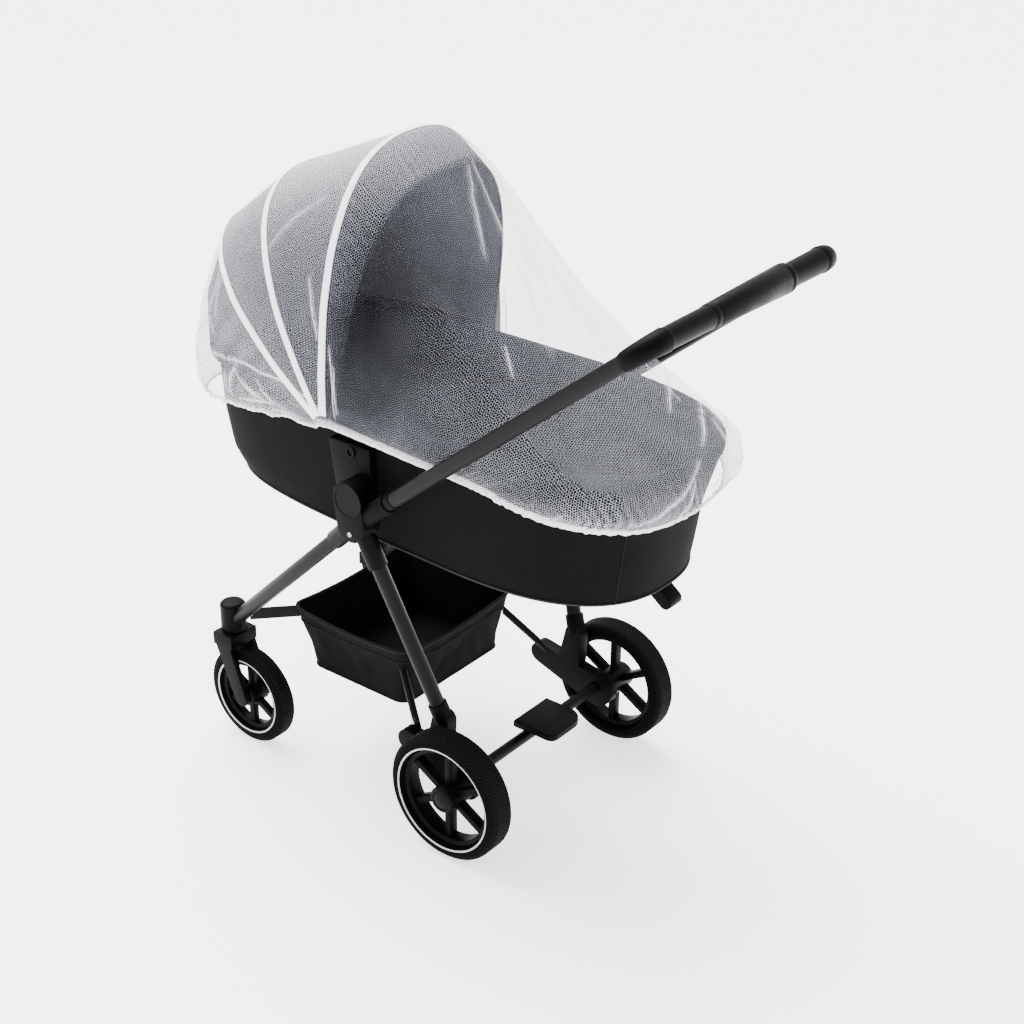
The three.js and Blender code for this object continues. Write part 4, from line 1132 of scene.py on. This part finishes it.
tucked = np.linspace(0, 1, WALL_ROWS)
wall = np.array([plan_ring(level_at(share)) for share in tucked])
wall_out = away_from_middle(wall)
drawn_in = bell(tucked, 0.0, 0.05) * WALL_TUCK
puckered = uneven(wall, 9, 9, 3) * WALL_PUCKER * np.sin(np.pi * tucked)[:, None]
wall = wall + wall_out * (puckered - drawn_in[:, None])[..., None]
print("wall:", wall.shape[:2])

# %% [markdown]
# The cover goes up the outside, over the top, down the inside and across the floor, and
# the underside closes it. So the cot is one stack of rings. The faces below the rim on
# the inside and the floor take the lining.

# %% Cot shell
COT_WALL, COT_FLOOR = 10.0, 12.0
under, lower, middle_level, top_level = (
    COT_LEVELS[name] for name in ("underside", "lower wall", "middle wall", "wall top"))
under_ring = plan_ring(under)


def shrunk(ring, share):
    """The ring drawn in to its middle by a share."""
    return ring * (1 - share) + ring.mean(axis=0) * share


stack = [shrunk(under_ring, s) for s in (0.98, 0.6, 0.3)] + [under_ring, *wall]
outer_count = len(stack)
stack += [
    plan_ring(top_level, COT_WALL * 0.5, 0.4), plan_ring(top_level, COT_WALL),
    plan_ring(middle_level, COT_WALL), plan_ring(lower, COT_WALL)]
inner_floor = plan_ring(under, COT_WALL, COT_FLOOR)
stack += [inner_floor] + [shrunk(inner_floor, s) for s in (0.3, 0.6, 0.98)]
stack = np.array(stack)
shell_faces = grid_faces(len(stack), COT_STEPS, closed=True)
lined = [1 if face[0] // COT_STEPS >= outer_count else 0 for face in shell_faces] + [0, 1]


def wrap_map(rings, round_line):
    """How far each point lies round a ring, measured on one line, and how far over the rings."""
    return np.stack(np.meshgrid(lengths(round_line), lengths(rings[:, 0])), axis=-1)


shell_piece = new_piece(
    "cot_cover", stack, shell_faces + end_caps(len(stack), COT_STEPS), [COT_CLOTH, LINING],
    face_material=lined, uv=wrap_map(stack, plan_ring(top_level)), sharp=60)
face_outwards(shell_piece)
settle(shell_piece, "cot_cloth", "cot_shell")

piping_path = plan_ring(COT_LEVELS["piping"]) + np.array([0, 0, 1.5 * MM])
piping = sweep("cot_piping", piping_path, 1.7 * MM, PIPING, sides=10, closed=True)
settle(piping, "cot_cloth")

SEAM_STEPS = {"foot near": 202, "foot far": 18, "head near": 128, "head far": 92}
seam_cords = [
    sweep("panel_seam", wall[:, k] + wall_out[:, k] * 0.3 * MM, 1.0 * MM, BINDING, sides=8)
    for k in SEAM_STEPS.values()]
panel_seams = joined("cot_seams", seam_cords)
settle(panel_seams, "cot_cloth")

rim_profile = [
    # inset from the wall's outer face, height over the wall's top
    (-3, 0.4), (-3.4, 6), (-3.3, 14), (-2.0, 16.8), (1.2, 17.8), (6.5, 18.2), (12, 17.2), (15.4, 13), (16, 6),
    (16, 0.4)]
rim_rings = np.array([plan_ring(top_level, inset, lift) for inset, lift in rim_profile])
rim_faces = grid_faces(len(rim_profile), COT_STEPS, closed=True, looped=True)
rim_piece = face_outwards(new_piece(
    "cot_padded_rim", rim_rings, rim_faces, LINING, uv=wrap_map(rim_rings, rim_rings[0])))
settle(rim_piece, "hood_cloth", "cot_rim")
print("cot polygons:", len(shell_piece.data.polygons) + len(rim_piece.data.polygons))

# %% [markdown]
# The chassis is tube and moulded plastic. The solids have the right shapes with hard
# edges. A moulding has small radii, so each copy has its loose triangles merged, its flat
# faces made whole and its edges bevelled.


# %% Bevelled copies of the mouldings
MOULDING_SHARP = 32.0


def bevelled(edit, edges, radius, segments):
    """Rounds the edges, and keeps every face in the first material."""
    bmesh.ops.bevel(edit, geom=list(edges), offset=radius, segments=segments, profile=0.5, affect="EDGES",
                    clamp_overlap=True)
    for face in edit.faces:
        face.material_index = 0


def moulded(name, node, material, slot, radius, segments=3):
    """A copy of a solid with small radii on its edges, in the solid's place."""
    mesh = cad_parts[node].data.copy()
    mesh.materials.clear()
    mesh.materials.append(material)
    edit = bmesh.new()
    edit.from_mesh(mesh)
    bmesh.ops.remove_doubles(edit, verts=edit.verts, dist=2e-5)
    bmesh.ops.dissolve_limit(edit, angle_limit=math.radians(0.6), verts=edit.verts, edges=edit.edges)
    edges = [
        e for e in edit.edges
        if len(e.link_faces) == 2 and e.calc_face_angle() > math.radians(MOULDING_SHARP)]
    bevelled(edit, edges, radius, segments)
    bmesh.ops.triangulate(edit, faces=[f for f in edit.faces if len(f.verts) > 4])
    edit.to_mesh(mesh)
    edit.free()
    return settle(shade(stand(name, mesh), 38), slot, node)


for side in SIDES:
    moulded(f"adapter_plate_{side}", f"adapter_{side}", PLASTIC, "black_plastic", 2.0 * MM)
    moulded(f"joint_cover_{side}", f"joint_{side}", PLASTIC, "black_plastic", 2.5 * MM)
    moulded(f"wheel_bracket_{side}", f"rear_bracket_{side}", PLASTIC, "black_plastic", 2.5 * MM)
    moulded(f"wheel_fork_{side}", f"fork_{side}", PLASTIC, "black_plastic", 6.5 * MM, segments=5)
moulded("cot_stop", "cot_foot", PLASTIC, "black_plastic", 2.0 * MM)
moulded("pedal_paddle", "brake_pedal", PLASTIC, "black_plastic", 3.0 * MM)

# %% [markdown]
# The arm tubes, the rear legs, the axle and the handle bar are swept anew, because a drawn
# tube is perfectly round, and the front legs and basket bars are bevelled copies of their
# solids. The values below are the ends that the solids have. A ring of plastic closes each
# arm's collar, and each front leg ends in a round housing, in which the fork swivels.

# %% Tubes
TUBE_RADIUS, AXLE_RADIUS, COLLAR_END, GAP = 13.0, 10.0, 84.0, 0.3
# x, y and z of the middle lines, in millimetres, for the far side
TUBES_MEET = (-4, 246, 572)
HANDLE = (535, 246, 1010)
REAR_LEG_END = (120, 185, 214)
ELBOW_RADIUS, SLEEVE = 42.0, 6.0
BAR_SLEEVE_RADIUS = (17.0, 20.0)
ELBOW_COVER_RADIUS = {"near": (15.5, 18.8), "far": (16.0, 21.6)}
SWIVEL_FULLER, SWIVEL_SIDES = 3.0 * MM, 48
TUBE_STEPS, TUBE_SIDES = 24, 40
REAR_COLLAR_END = 34.0
RING_STEPS, RING_RADII = (0.2, 1.0, 7.5, 14.2, 15.0), np.array([13.1, 14.2, 14.4, 14.2, 13.1]) * MM


def place(x, y, z, sign=1):
    return np.array([x * MM + SHIFT_X, y * sign * MM, z * MM])


def along(start, end, reach):
    """The point at reach, in millimetres, from start towards end."""
    return start + unit(end - start) * reach * MM


def rounded_tube(name, start, end, radius, material, node):
    """A straight tube, whose radius may be a pair of numbers: at its start and at its end."""
    radii = np.linspace(*np.broadcast_to(radius, 2), TUBE_STEPS) * MM
    piece = sweep(name, np.linspace(start, end, TUBE_STEPS), radii, material, sides=TUBE_SIDES)
    return settle(piece, "frame_paint", node)


def swivel_housing(side):
    """A turned cover with a rounded shoulder, a little fuller than its solid."""
    low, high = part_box(f"swivel_{side}")
    centre = (low + high) / 2
    radius = (high.x - low.x) / 2 + SWIVEL_FULLER
    profile = [(0.2 * MM, low.z), (radius - 2 * MM, low.z), (radius, low.z + 2 * MM),
               (radius, high.z - 5 * MM), (radius - 3 * MM, high.z - 1.5 * MM), (radius - 8 * MM, high.z),
               (0.2 * MM, high.z)]
    turns = np.linspace(0, 2 * np.pi, SWIVEL_SIDES, endpoint=False)
    rings = [[(centre.x + r * math.cos(t), centre.y + r * math.sin(t), z) for t in turns] for r, z in profile]
    faces = grid_faces(len(profile), SWIVEL_SIDES, closed=True) + end_caps(len(profile), SWIVEL_SIDES)
    housing = new_piece(f"swivel_housing_{side}", rings, faces, PLASTIC, sharp=35)
    return settle(face_outwards(housing), "black_plastic", f"swivel_{side}")


for side, sign in SIDES.items():
    hub, top = place(*TUBES_MEET, sign), place(*HANDLE, sign)
    reach = np.linalg.norm(top - hub) / MM
    rounded_tube(f"arm_tube_{side}", along(hub, top, COLLAR_END + GAP),
                 along(hub, top, reach - ELBOW_RADIUS - SLEEVE), TUBE_RADIUS, COAT, f"arm_{side}")
    ring = np.array([along(hub, top, COLLAR_END + GAP + step) for step in RING_STEPS])
    settle(sweep(f"arm_ring_{side}", ring, RING_RADII, PLASTIC, sides=TUBE_SIDES), "black_plastic")
    rear = place(*REAR_LEG_END, sign)
    reach = np.linalg.norm(rear - hub) / MM
    rounded_tube(f"rear_tube_{side}", along(hub, rear, COLLAR_END + GAP),
                 along(hub, rear, reach - REAR_COLLAR_END), TUBE_RADIUS, COAT, f"rear_leg_{side}")
    moulded(f"front_tube_{side}", f"front_leg_{side}", COAT, "frame_paint", 0.4 * MM)
    moulded(f"basket_bar_{side}", f"basket_rod_{side}", COAT, "frame_paint", 0.4 * MM)
    swivel_housing(side)


def cross_tube(name, radius, material, node):
    """A tube across the frame, through the middle of its solid's box."""
    low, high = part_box(node)
    middle = (low + high) / 2
    start, end = ((middle.x, y, middle.z) for y in (low.y, high.y))
    return rounded_tube(name, start, end, radius, material, node)


cross_tube("rear_axle", AXLE_RADIUS, COAT, "axle")
cross_tube("handle_bar", BAR_SLEEVE_RADIUS, DULL_PLASTIC, "crossbar")
print("tubes done")

# %% [markdown]
# The elbows are moulded bends, and the grip is a stitched sleeve of imitation leather.

# %% Handle
ELBOW_LIP, BEND_STEPS = 1.2 * MM, 26
for side, sign in SIDES.items():
    hub, corner = place(*TUBES_MEET, sign), place(*HANDLE, sign)
    back = unit(hub - corner)
    inward = np.array([0, -sign, 0.0])
    start = corner + back * (ELBOW_RADIUS + SLEEVE - GAP) * MM
    bend_start, bend_end = corner + back * ELBOW_RADIUS * MM, corner + inward * ELBOW_RADIUS * MM
    t = np.linspace(0, 1, BEND_STEPS)[:, None]
    bend = bend_start * (1 - t) ** 2 + corner * 2 * t * (1 - t) + bend_end * t**2
    route = np.concatenate([[start], bend])
    thickness = np.linspace(*ELBOW_COVER_RADIUS[side], len(route)) * MM
    thickness[[0, -1]] -= ELBOW_LIP
    elbow = sweep(f"elbow_cover_{side}", route, thickness, PLASTIC, sides=40)
    settle(elbow, "black_plastic", f"elbow_{side}")

# The sleeve's ends are ringed, and it is thicker towards the far end.
GRIP_ENDS = np.array([0, 1.5, 4, 12, 14, 16]) * MM
GRIP_RADII = np.array([16.2, 18.2, 19.0, 19.2, 18.0, 19.2, 23.6, 22.2, 23.6, 23.4, 22.6, 20.8]) * MM
GRIP_SEAM_FROM_END, GRIP_SEAM_DROP = 17.0 * MM, 18.9 * MM
low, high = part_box("grip")
grip_middle = (low + high) / 2
grip_y = np.concatenate([low.y + GRIP_ENDS, high.y - GRIP_ENDS[::-1]])
grip_path = [(grip_middle.x, y, grip_middle.z) for y in grip_y]
grip_piece = sweep("grip_sleeve", grip_path, GRIP_RADII, LEATHER, sides=48)
seam_y = np.linspace(low.y + GRIP_SEAM_FROM_END, high.y - GRIP_SEAM_FROM_END, 60)
seam_line = np.array([(grip_middle.x, y, grip_middle.z - GRIP_SEAM_DROP) for y in seam_y])
seam = stitches("grip_seam", seam_line, LEATHER, Spacing=5 * MM, Length=3.4 * MM, Thickness=0.5 * MM)
settle(joined("grip_sleeve", [grip_piece, seam]), "grip_leather", "grip")
print("grip: %.0f mm" % ((high.y - low.y) / MM))

# %% [markdown]
# A tyre is a profile spun round the axle. The tread's fine zigzag is a bump in the rubber,
# because its blocks are only some two millimetres deep, and an attribute says where it
# lies. A pale stripe runs round the outer wall.


# %% Wheels
TYRE_STEPS = 144
TREAD_ROWS = (7, 17)
STRIPE_ROW = 1


def spin(name, centre, profile, material, steps=120):
    """The profile (radius, offset along the axle) turned about the axle."""
    turns = np.linspace(0, 2 * np.pi, steps, endpoint=False)
    rings = np.array([
        np.stack([centre[0] + radius * np.cos(turns), np.full(steps, centre[1] + offset),
                  centre[2] + radius * np.sin(turns)], axis=-1) for radius, offset in profile])
    faces = grid_faces(len(profile), steps, closed=True, looped=True)
    over = lengths(np.array(profile))
    uv = np.stack(np.meshgrid(over, turns * max(radius for radius, _ in profile), indexing="ij"), axis=-1)
    return face_outwards(new_piece(name, rings, faces, material, uv=uv, sharp=45))


def tyre_profile(bore, tread, half):
    """From the bead on one face, over the tread, to the bead on the other."""
    shoulder = [(bore, half - 3), (bore + 1.6, half - 0.9), (bore + 4.4, half - 0.1), (tread - 16, half),
                (tread - 11, half - 0.6), (tread - 6.5, half - 2.8), (tread - 3.2, half - 6.2)]
    crown = [(tread - 1.0, half * w) for w in (0.66, 0.52, 0.38, 0.24, 0.10)]
    one_side = shoulder + crown
    other = [(r, -y) for r, y in reversed(one_side)]
    return [(r * MM, y * MM) for r, y in one_side + other]


def dress_tyre(piece, rows, steps, outer_first):
    """Marks the tread for the rubber's bump, and gives the outer wall its pale stripe."""
    row = np.repeat(np.arange(rows), steps)
    tread_share = rise(row, TREAD_ROWS[0] - 2, TREAD_ROWS[0]) * rise(row, TREAD_ROWS[1] + 2, TREAD_ROWS[1])
    piece.data.attributes.new("tread", "FLOAT", "POINT").data.foreach_set("value", tread_share.astype(float))
    piece.data.materials.append(STRIPE)
    stripe = STRIPE_ROW if outer_first else rows - 2 - STRIPE_ROW
    for face in piece.data.polygons:
        if sorted({v // steps for v in face.vertices}) == [stripe, stripe + 1]:
            face.material_index = 1
    return piece


# %% [markdown]
# A wheel's spokes repeat round its hub, so Geometry Nodes sets one spoke on each point of
# a circle, turned outwards. The inputs are the number of spokes, the circle's radius and
# the spoke's own sizes.


# %% Spokes by Geometry Nodes
SPOKE_TREE, _ = node_group(
    "spoke_star",
    [("Count", "Int", 6), ("Middle", "Float", 0.05), ("Reach", "Float", 0.06), ("Width", "Float", 0.014),
     ("Depth", "Float", 0.016), ("Finish", "Material", None)],
    {**LAYING, "circle": "GeometryNodeCurvePrimitiveCircle", "bar": "GeometryNodeMeshCube",
     "size": "ShaderNodeCombineXYZ", "normal": "GeometryNodeInputNormal"},
    {"turn.axis": "X", "turn.pivot_axis": "Z"},
    [("in.Middle", "circle.Radius"), ("circle.Curve", "points.Curve"), ("in.Count", "points.Count"),
     ("in.Reach", "size.X"), ("in.Width", "size.Y"), ("in.Depth", "size.Z"), ("size.Vector", "bar.Size"),
     ("bar.Mesh", "lay.Instance"), ("normal.Normal", "turn.Vector"), *LAYING_LINKS])
SPOKE_BEVEL = 2.2 * MM


def spoke_star(name, centre, material, turned, **sizes):
    """The spokes of one wheel, turned about its axle and bevelled."""
    mesh = grown(stand(name, bpy.data.meshes.new(name + "_holder")), SPOKE_TREE, material, sizes)
    mesh.transform(Matrix.Translation(centre) @ Matrix.Rotation(math.radians(90), 4, "X")
                   @ Matrix.Rotation(math.radians(turned), 4, "Z"))
    edit = bmesh.new()
    edit.from_mesh(mesh)
    bevelled(edit, edit.edges, SPOKE_BEVEL, 2)
    edit.to_mesh(mesh)
    edit.free()
    mesh.materials.clear()
    mesh.materials.append(material)
    return face_outwards(shade(stand(name, mesh), 40))


# %% [markdown]
# Each wheel is its tyre, its rim, its spokes, and a hub with a stepped cap.

# %% Wheels take their places
WHEELS = {
    # name: radius, tyre width, hub radius
    "rear_wheel": (115.0, 52.0, 24.0),
    "front_wheel": (92.5, 36.0, 19.0),
}
SPOKE_TURN = 30
for kind, (radius, width, hub_radius) in WHEELS.items():
    for side, sign in SIDES.items():
        low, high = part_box(f"{kind}_{side}_tyre")
        centre = (low + high) / 2
        centre = Vector((centre.x, centre.y, radius * MM))
        bore = radius - 24
        profile = tyre_profile(bore, radius, width / 2)
        tyre_piece = spin(f"{kind}_{side}_tread", centre, profile, RUBBER, TYRE_STEPS)
        dress_tyre(tyre_piece, len(profile), TYRE_STEPS, outer_first=sign > 0)
        settle(tyre_piece, "wheel_tyre", f"{kind}_{side}_tyre")
        face = sign * width / 2
        band = [(bore - 0.4, 0.27), (bore - 0.4, -0.27), (bore - 3, -0.30), (bore - 10, -0.25),
                (bore - 11, -0.18), (bore - 11, 0.18), (bore - 10, 0.25), (bore - 3, 0.30)]
        ring = spin(f"{kind}_{side}_rim", centre, [(r * MM, w * width * MM) for r, w in band], PLASTIC)
        reach = bore - 9 - hub_radius + 8
        star = spoke_star(f"{kind}_{side}_spokes", centre, PLASTIC, SPOKE_TURN, Count=6, Width=13 * MM,
                          Middle=(hub_radius - 4 + reach / 2) * MM, Reach=reach * MM, Depth=width * 0.36 * MM)
        hub_low, hub_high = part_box(f"{kind}_{side}_rim")
        inner_y, outer_y = (hub_high.y, hub_low.y) if sign < 0 else (hub_low.y, hub_high.y)
        steps = [(0.2, inner_y), (hub_radius, inner_y), (hub_radius, outer_y - sign * 5 * MM),
                 (hub_radius - 2, outer_y - sign * 2 * MM), (hub_radius - 6, outer_y - sign * 1 * MM),
                 (hub_radius - 7, outer_y - sign * 2.4 * MM), (hub_radius - 12, outer_y - sign * 0.6 * MM),
                 (0.2, outer_y)]
        steps = [(r * MM, y - centre.y) for r, y in steps]
        cap = spin(f"{kind}_{side}_cap", centre, steps, DULL_PLASTIC, 60)
        wheel = joined(f"{kind}_{side}_hub", [cap, ring, star])
        settle(wheel, "black_plastic", f"{kind}_{side}_rim")
print("wheels done")

# %% [markdown]
# Small fittings finish the joints: a ringed release button on each adapter, a dark disc
# over each pivot, and a bright screw below it.


# %% Fittings
JOINT_FACE_Y, ADAPTER_FACE_Y = 264.0, 224.0


def button(name, centre, sign, radius, height, material, rim=1.9, recess=0.8):
    """A turned disc that faces outwards along Y, its face set back inside a rim."""
    rings = [(radius, 0), (radius, height * 0.5), (radius - 0.7, height), (radius - rim, height),
             (radius - rim - 0.3, height - recess), (0.2, height - recess), (0.2, 0)]
    return spin(name, centre, [(r * MM, sign * h * MM) for r, h in rings], material, steps=40)


for side, sign in SIDES.items():
    cover = button(f"pivot_disc_{side}", place(-10, JOINT_FACE_Y, 612, sign), sign, 29, 1.6, DULL_PLASTIC)
    screw = button(f"pivot_screw_{side}", place(-8, JOINT_FACE_Y, 553, sign), sign, 4.4, 1.6, STEEL)
    settle(joined(f"pivot_disc_{side}", [cover, screw]), "black_plastic")
    release = button(f"release_button_{side}", place(-37, ADAPTER_FACE_Y, 676, sign), sign, 9.5, 3.4,
                     DULL_PLASTIC, rim=3.2, recess=2.4)
    settle(release, "black_plastic")

# %% [markdown]
# The basket is a black cloth box that sags a little between its corners, with a bound
# top edge and straps to the front legs.

# %% Basket
# x of the head side, x of the foot side, half width, z
BASKET_TOP = (-268, 4, 148, 280)
BASKET_BOTTOM = (-236, -15, 132, 160)
BASKET_CORNER, BASKET_STEPS = 22.0, 120
BASKET_SLUMP, BASKET_WALL = 11.0, 3.0
CUFF_ROW, FOOT_ROW = 14, 4


def basket_ring(head, foot, half, z, inset=0.0):
    """A level oblong with round corners, in even steps."""
    corner = BASKET_CORNER
    middle_x, reach_x, reach_y = (head + foot) / 2, (foot - head) / 2 - inset - corner, half - inset - corner
    points = []
    for sx, sy, start in ((1, 1, 0), (-1, 1, 90), (-1, -1, 180), (1, -1, 270)):
        for turn in np.linspace(0, 90, 9):
            angle = math.radians(start + turn)
            points.append((middle_x + sx * reach_x + corner * math.cos(angle),
                           sy * reach_y + corner * math.sin(angle), z))
    loop, _ = even_steps(np.array(points), BASKET_STEPS)
    return np.stack([place(*p) for p in loop])


def basket_level(share, inset=0.0):
    """The basket's ring at a share of its height."""
    head, foot, half, z = (b + (t - b) * share for b, t in zip(BASKET_BOTTOM, BASKET_TOP))
    return basket_ring(head, foot, half, z, inset)


def basket_height(points):
    """0 at the basket's floor, 1 at its top edge."""
    return np.clip((points[..., 2] / MM - BASKET_BOTTOM[3]) / (BASKET_TOP[3] - BASKET_BOTTOM[3]), 0, 1)


def hung(points):
    """Cloth between corners: the middle of each side hangs lower, most at the top."""
    head, foot, half, _ = BASKET_TOP
    middle = place((head + foot) / 2, 0, 0)
    over_x = np.abs(points[..., 0] - middle[0]) / ((foot - head) / 2 * MM)
    over_y = np.abs(points[..., 1]) / (half * MM)
    beside = np.clip(np.minimum(over_x, over_y), 0, 1)
    lower = points.copy()
    lower[..., 2] -= BASKET_SLUMP * MM * (1 - beside**2) * basket_height(points) ** 2
    return lower


floor_ring = basket_level(0.0)
slack = [0.98, 0.7, 0.4, 0.15]
outer = [shrunk(floor_ring, s) for s in slack] + [basket_level(s) for s in np.linspace(0.02, 1, 14)]
inner = [basket_level(s, BASKET_WALL) for s in np.linspace(0.99, 0.05, 10)]
inner_floor = basket_level(0.05, BASKET_WALL)
basket_stack = np.array(outer + inner + [shrunk(inner_floor, s) for s in slack[::-1]])
# The cloth is drawn in at mid-height, and its creases slant along the sides.
slanted = basket_stack * (26, 26, 12)
slanted[..., 2] += basket_stack[..., 0] * 14
creased = 1 - 2 * np.abs(uneven(slanted, 1))
belly = np.sin(np.pi * basket_height(basket_stack))
pulled = belly * (2.0 + 2.4 * uneven(basket_stack, 11) + 2.6 * creased) * MM
basket_stack = hung(basket_stack - away_from_middle(basket_stack) * pulled[..., None])
rows = len(basket_stack)
basket_faces = grid_faces(rows, BASKET_STEPS, closed=True) + end_caps(rows, BASKET_STEPS)
basket_piece = face_outwards(new_piece(
    "basket_bag", basket_stack, basket_faces, COT_CLOTH,
    uv=wrap_map(basket_stack, basket_level(1.0)), sharp=60))
settle(basket_piece, "cot_cloth", "basket")
bound_edge = sweep("edge", hung(basket_level(0.985, 1.5)), 3.4 * MM, BINDING, sides=10, closed=True)
hems = [sweep("hem", basket_stack[row], radius * MM, BINDING, sides=8, closed=True)
        for row, radius in ((CUFF_ROW, 1.5), (FOOT_ROW, 1.8))]
settle(joined("basket_binding", [bound_edge, *hems]), "cot_cloth")
for side in SIDES:
    moulded(f"basket_tie_{side}", f"basket_strap_{side}", BINDING, "cot_cloth", 0.8 * MM)
print("basket polygons:", len(basket_piece.data.polygons))
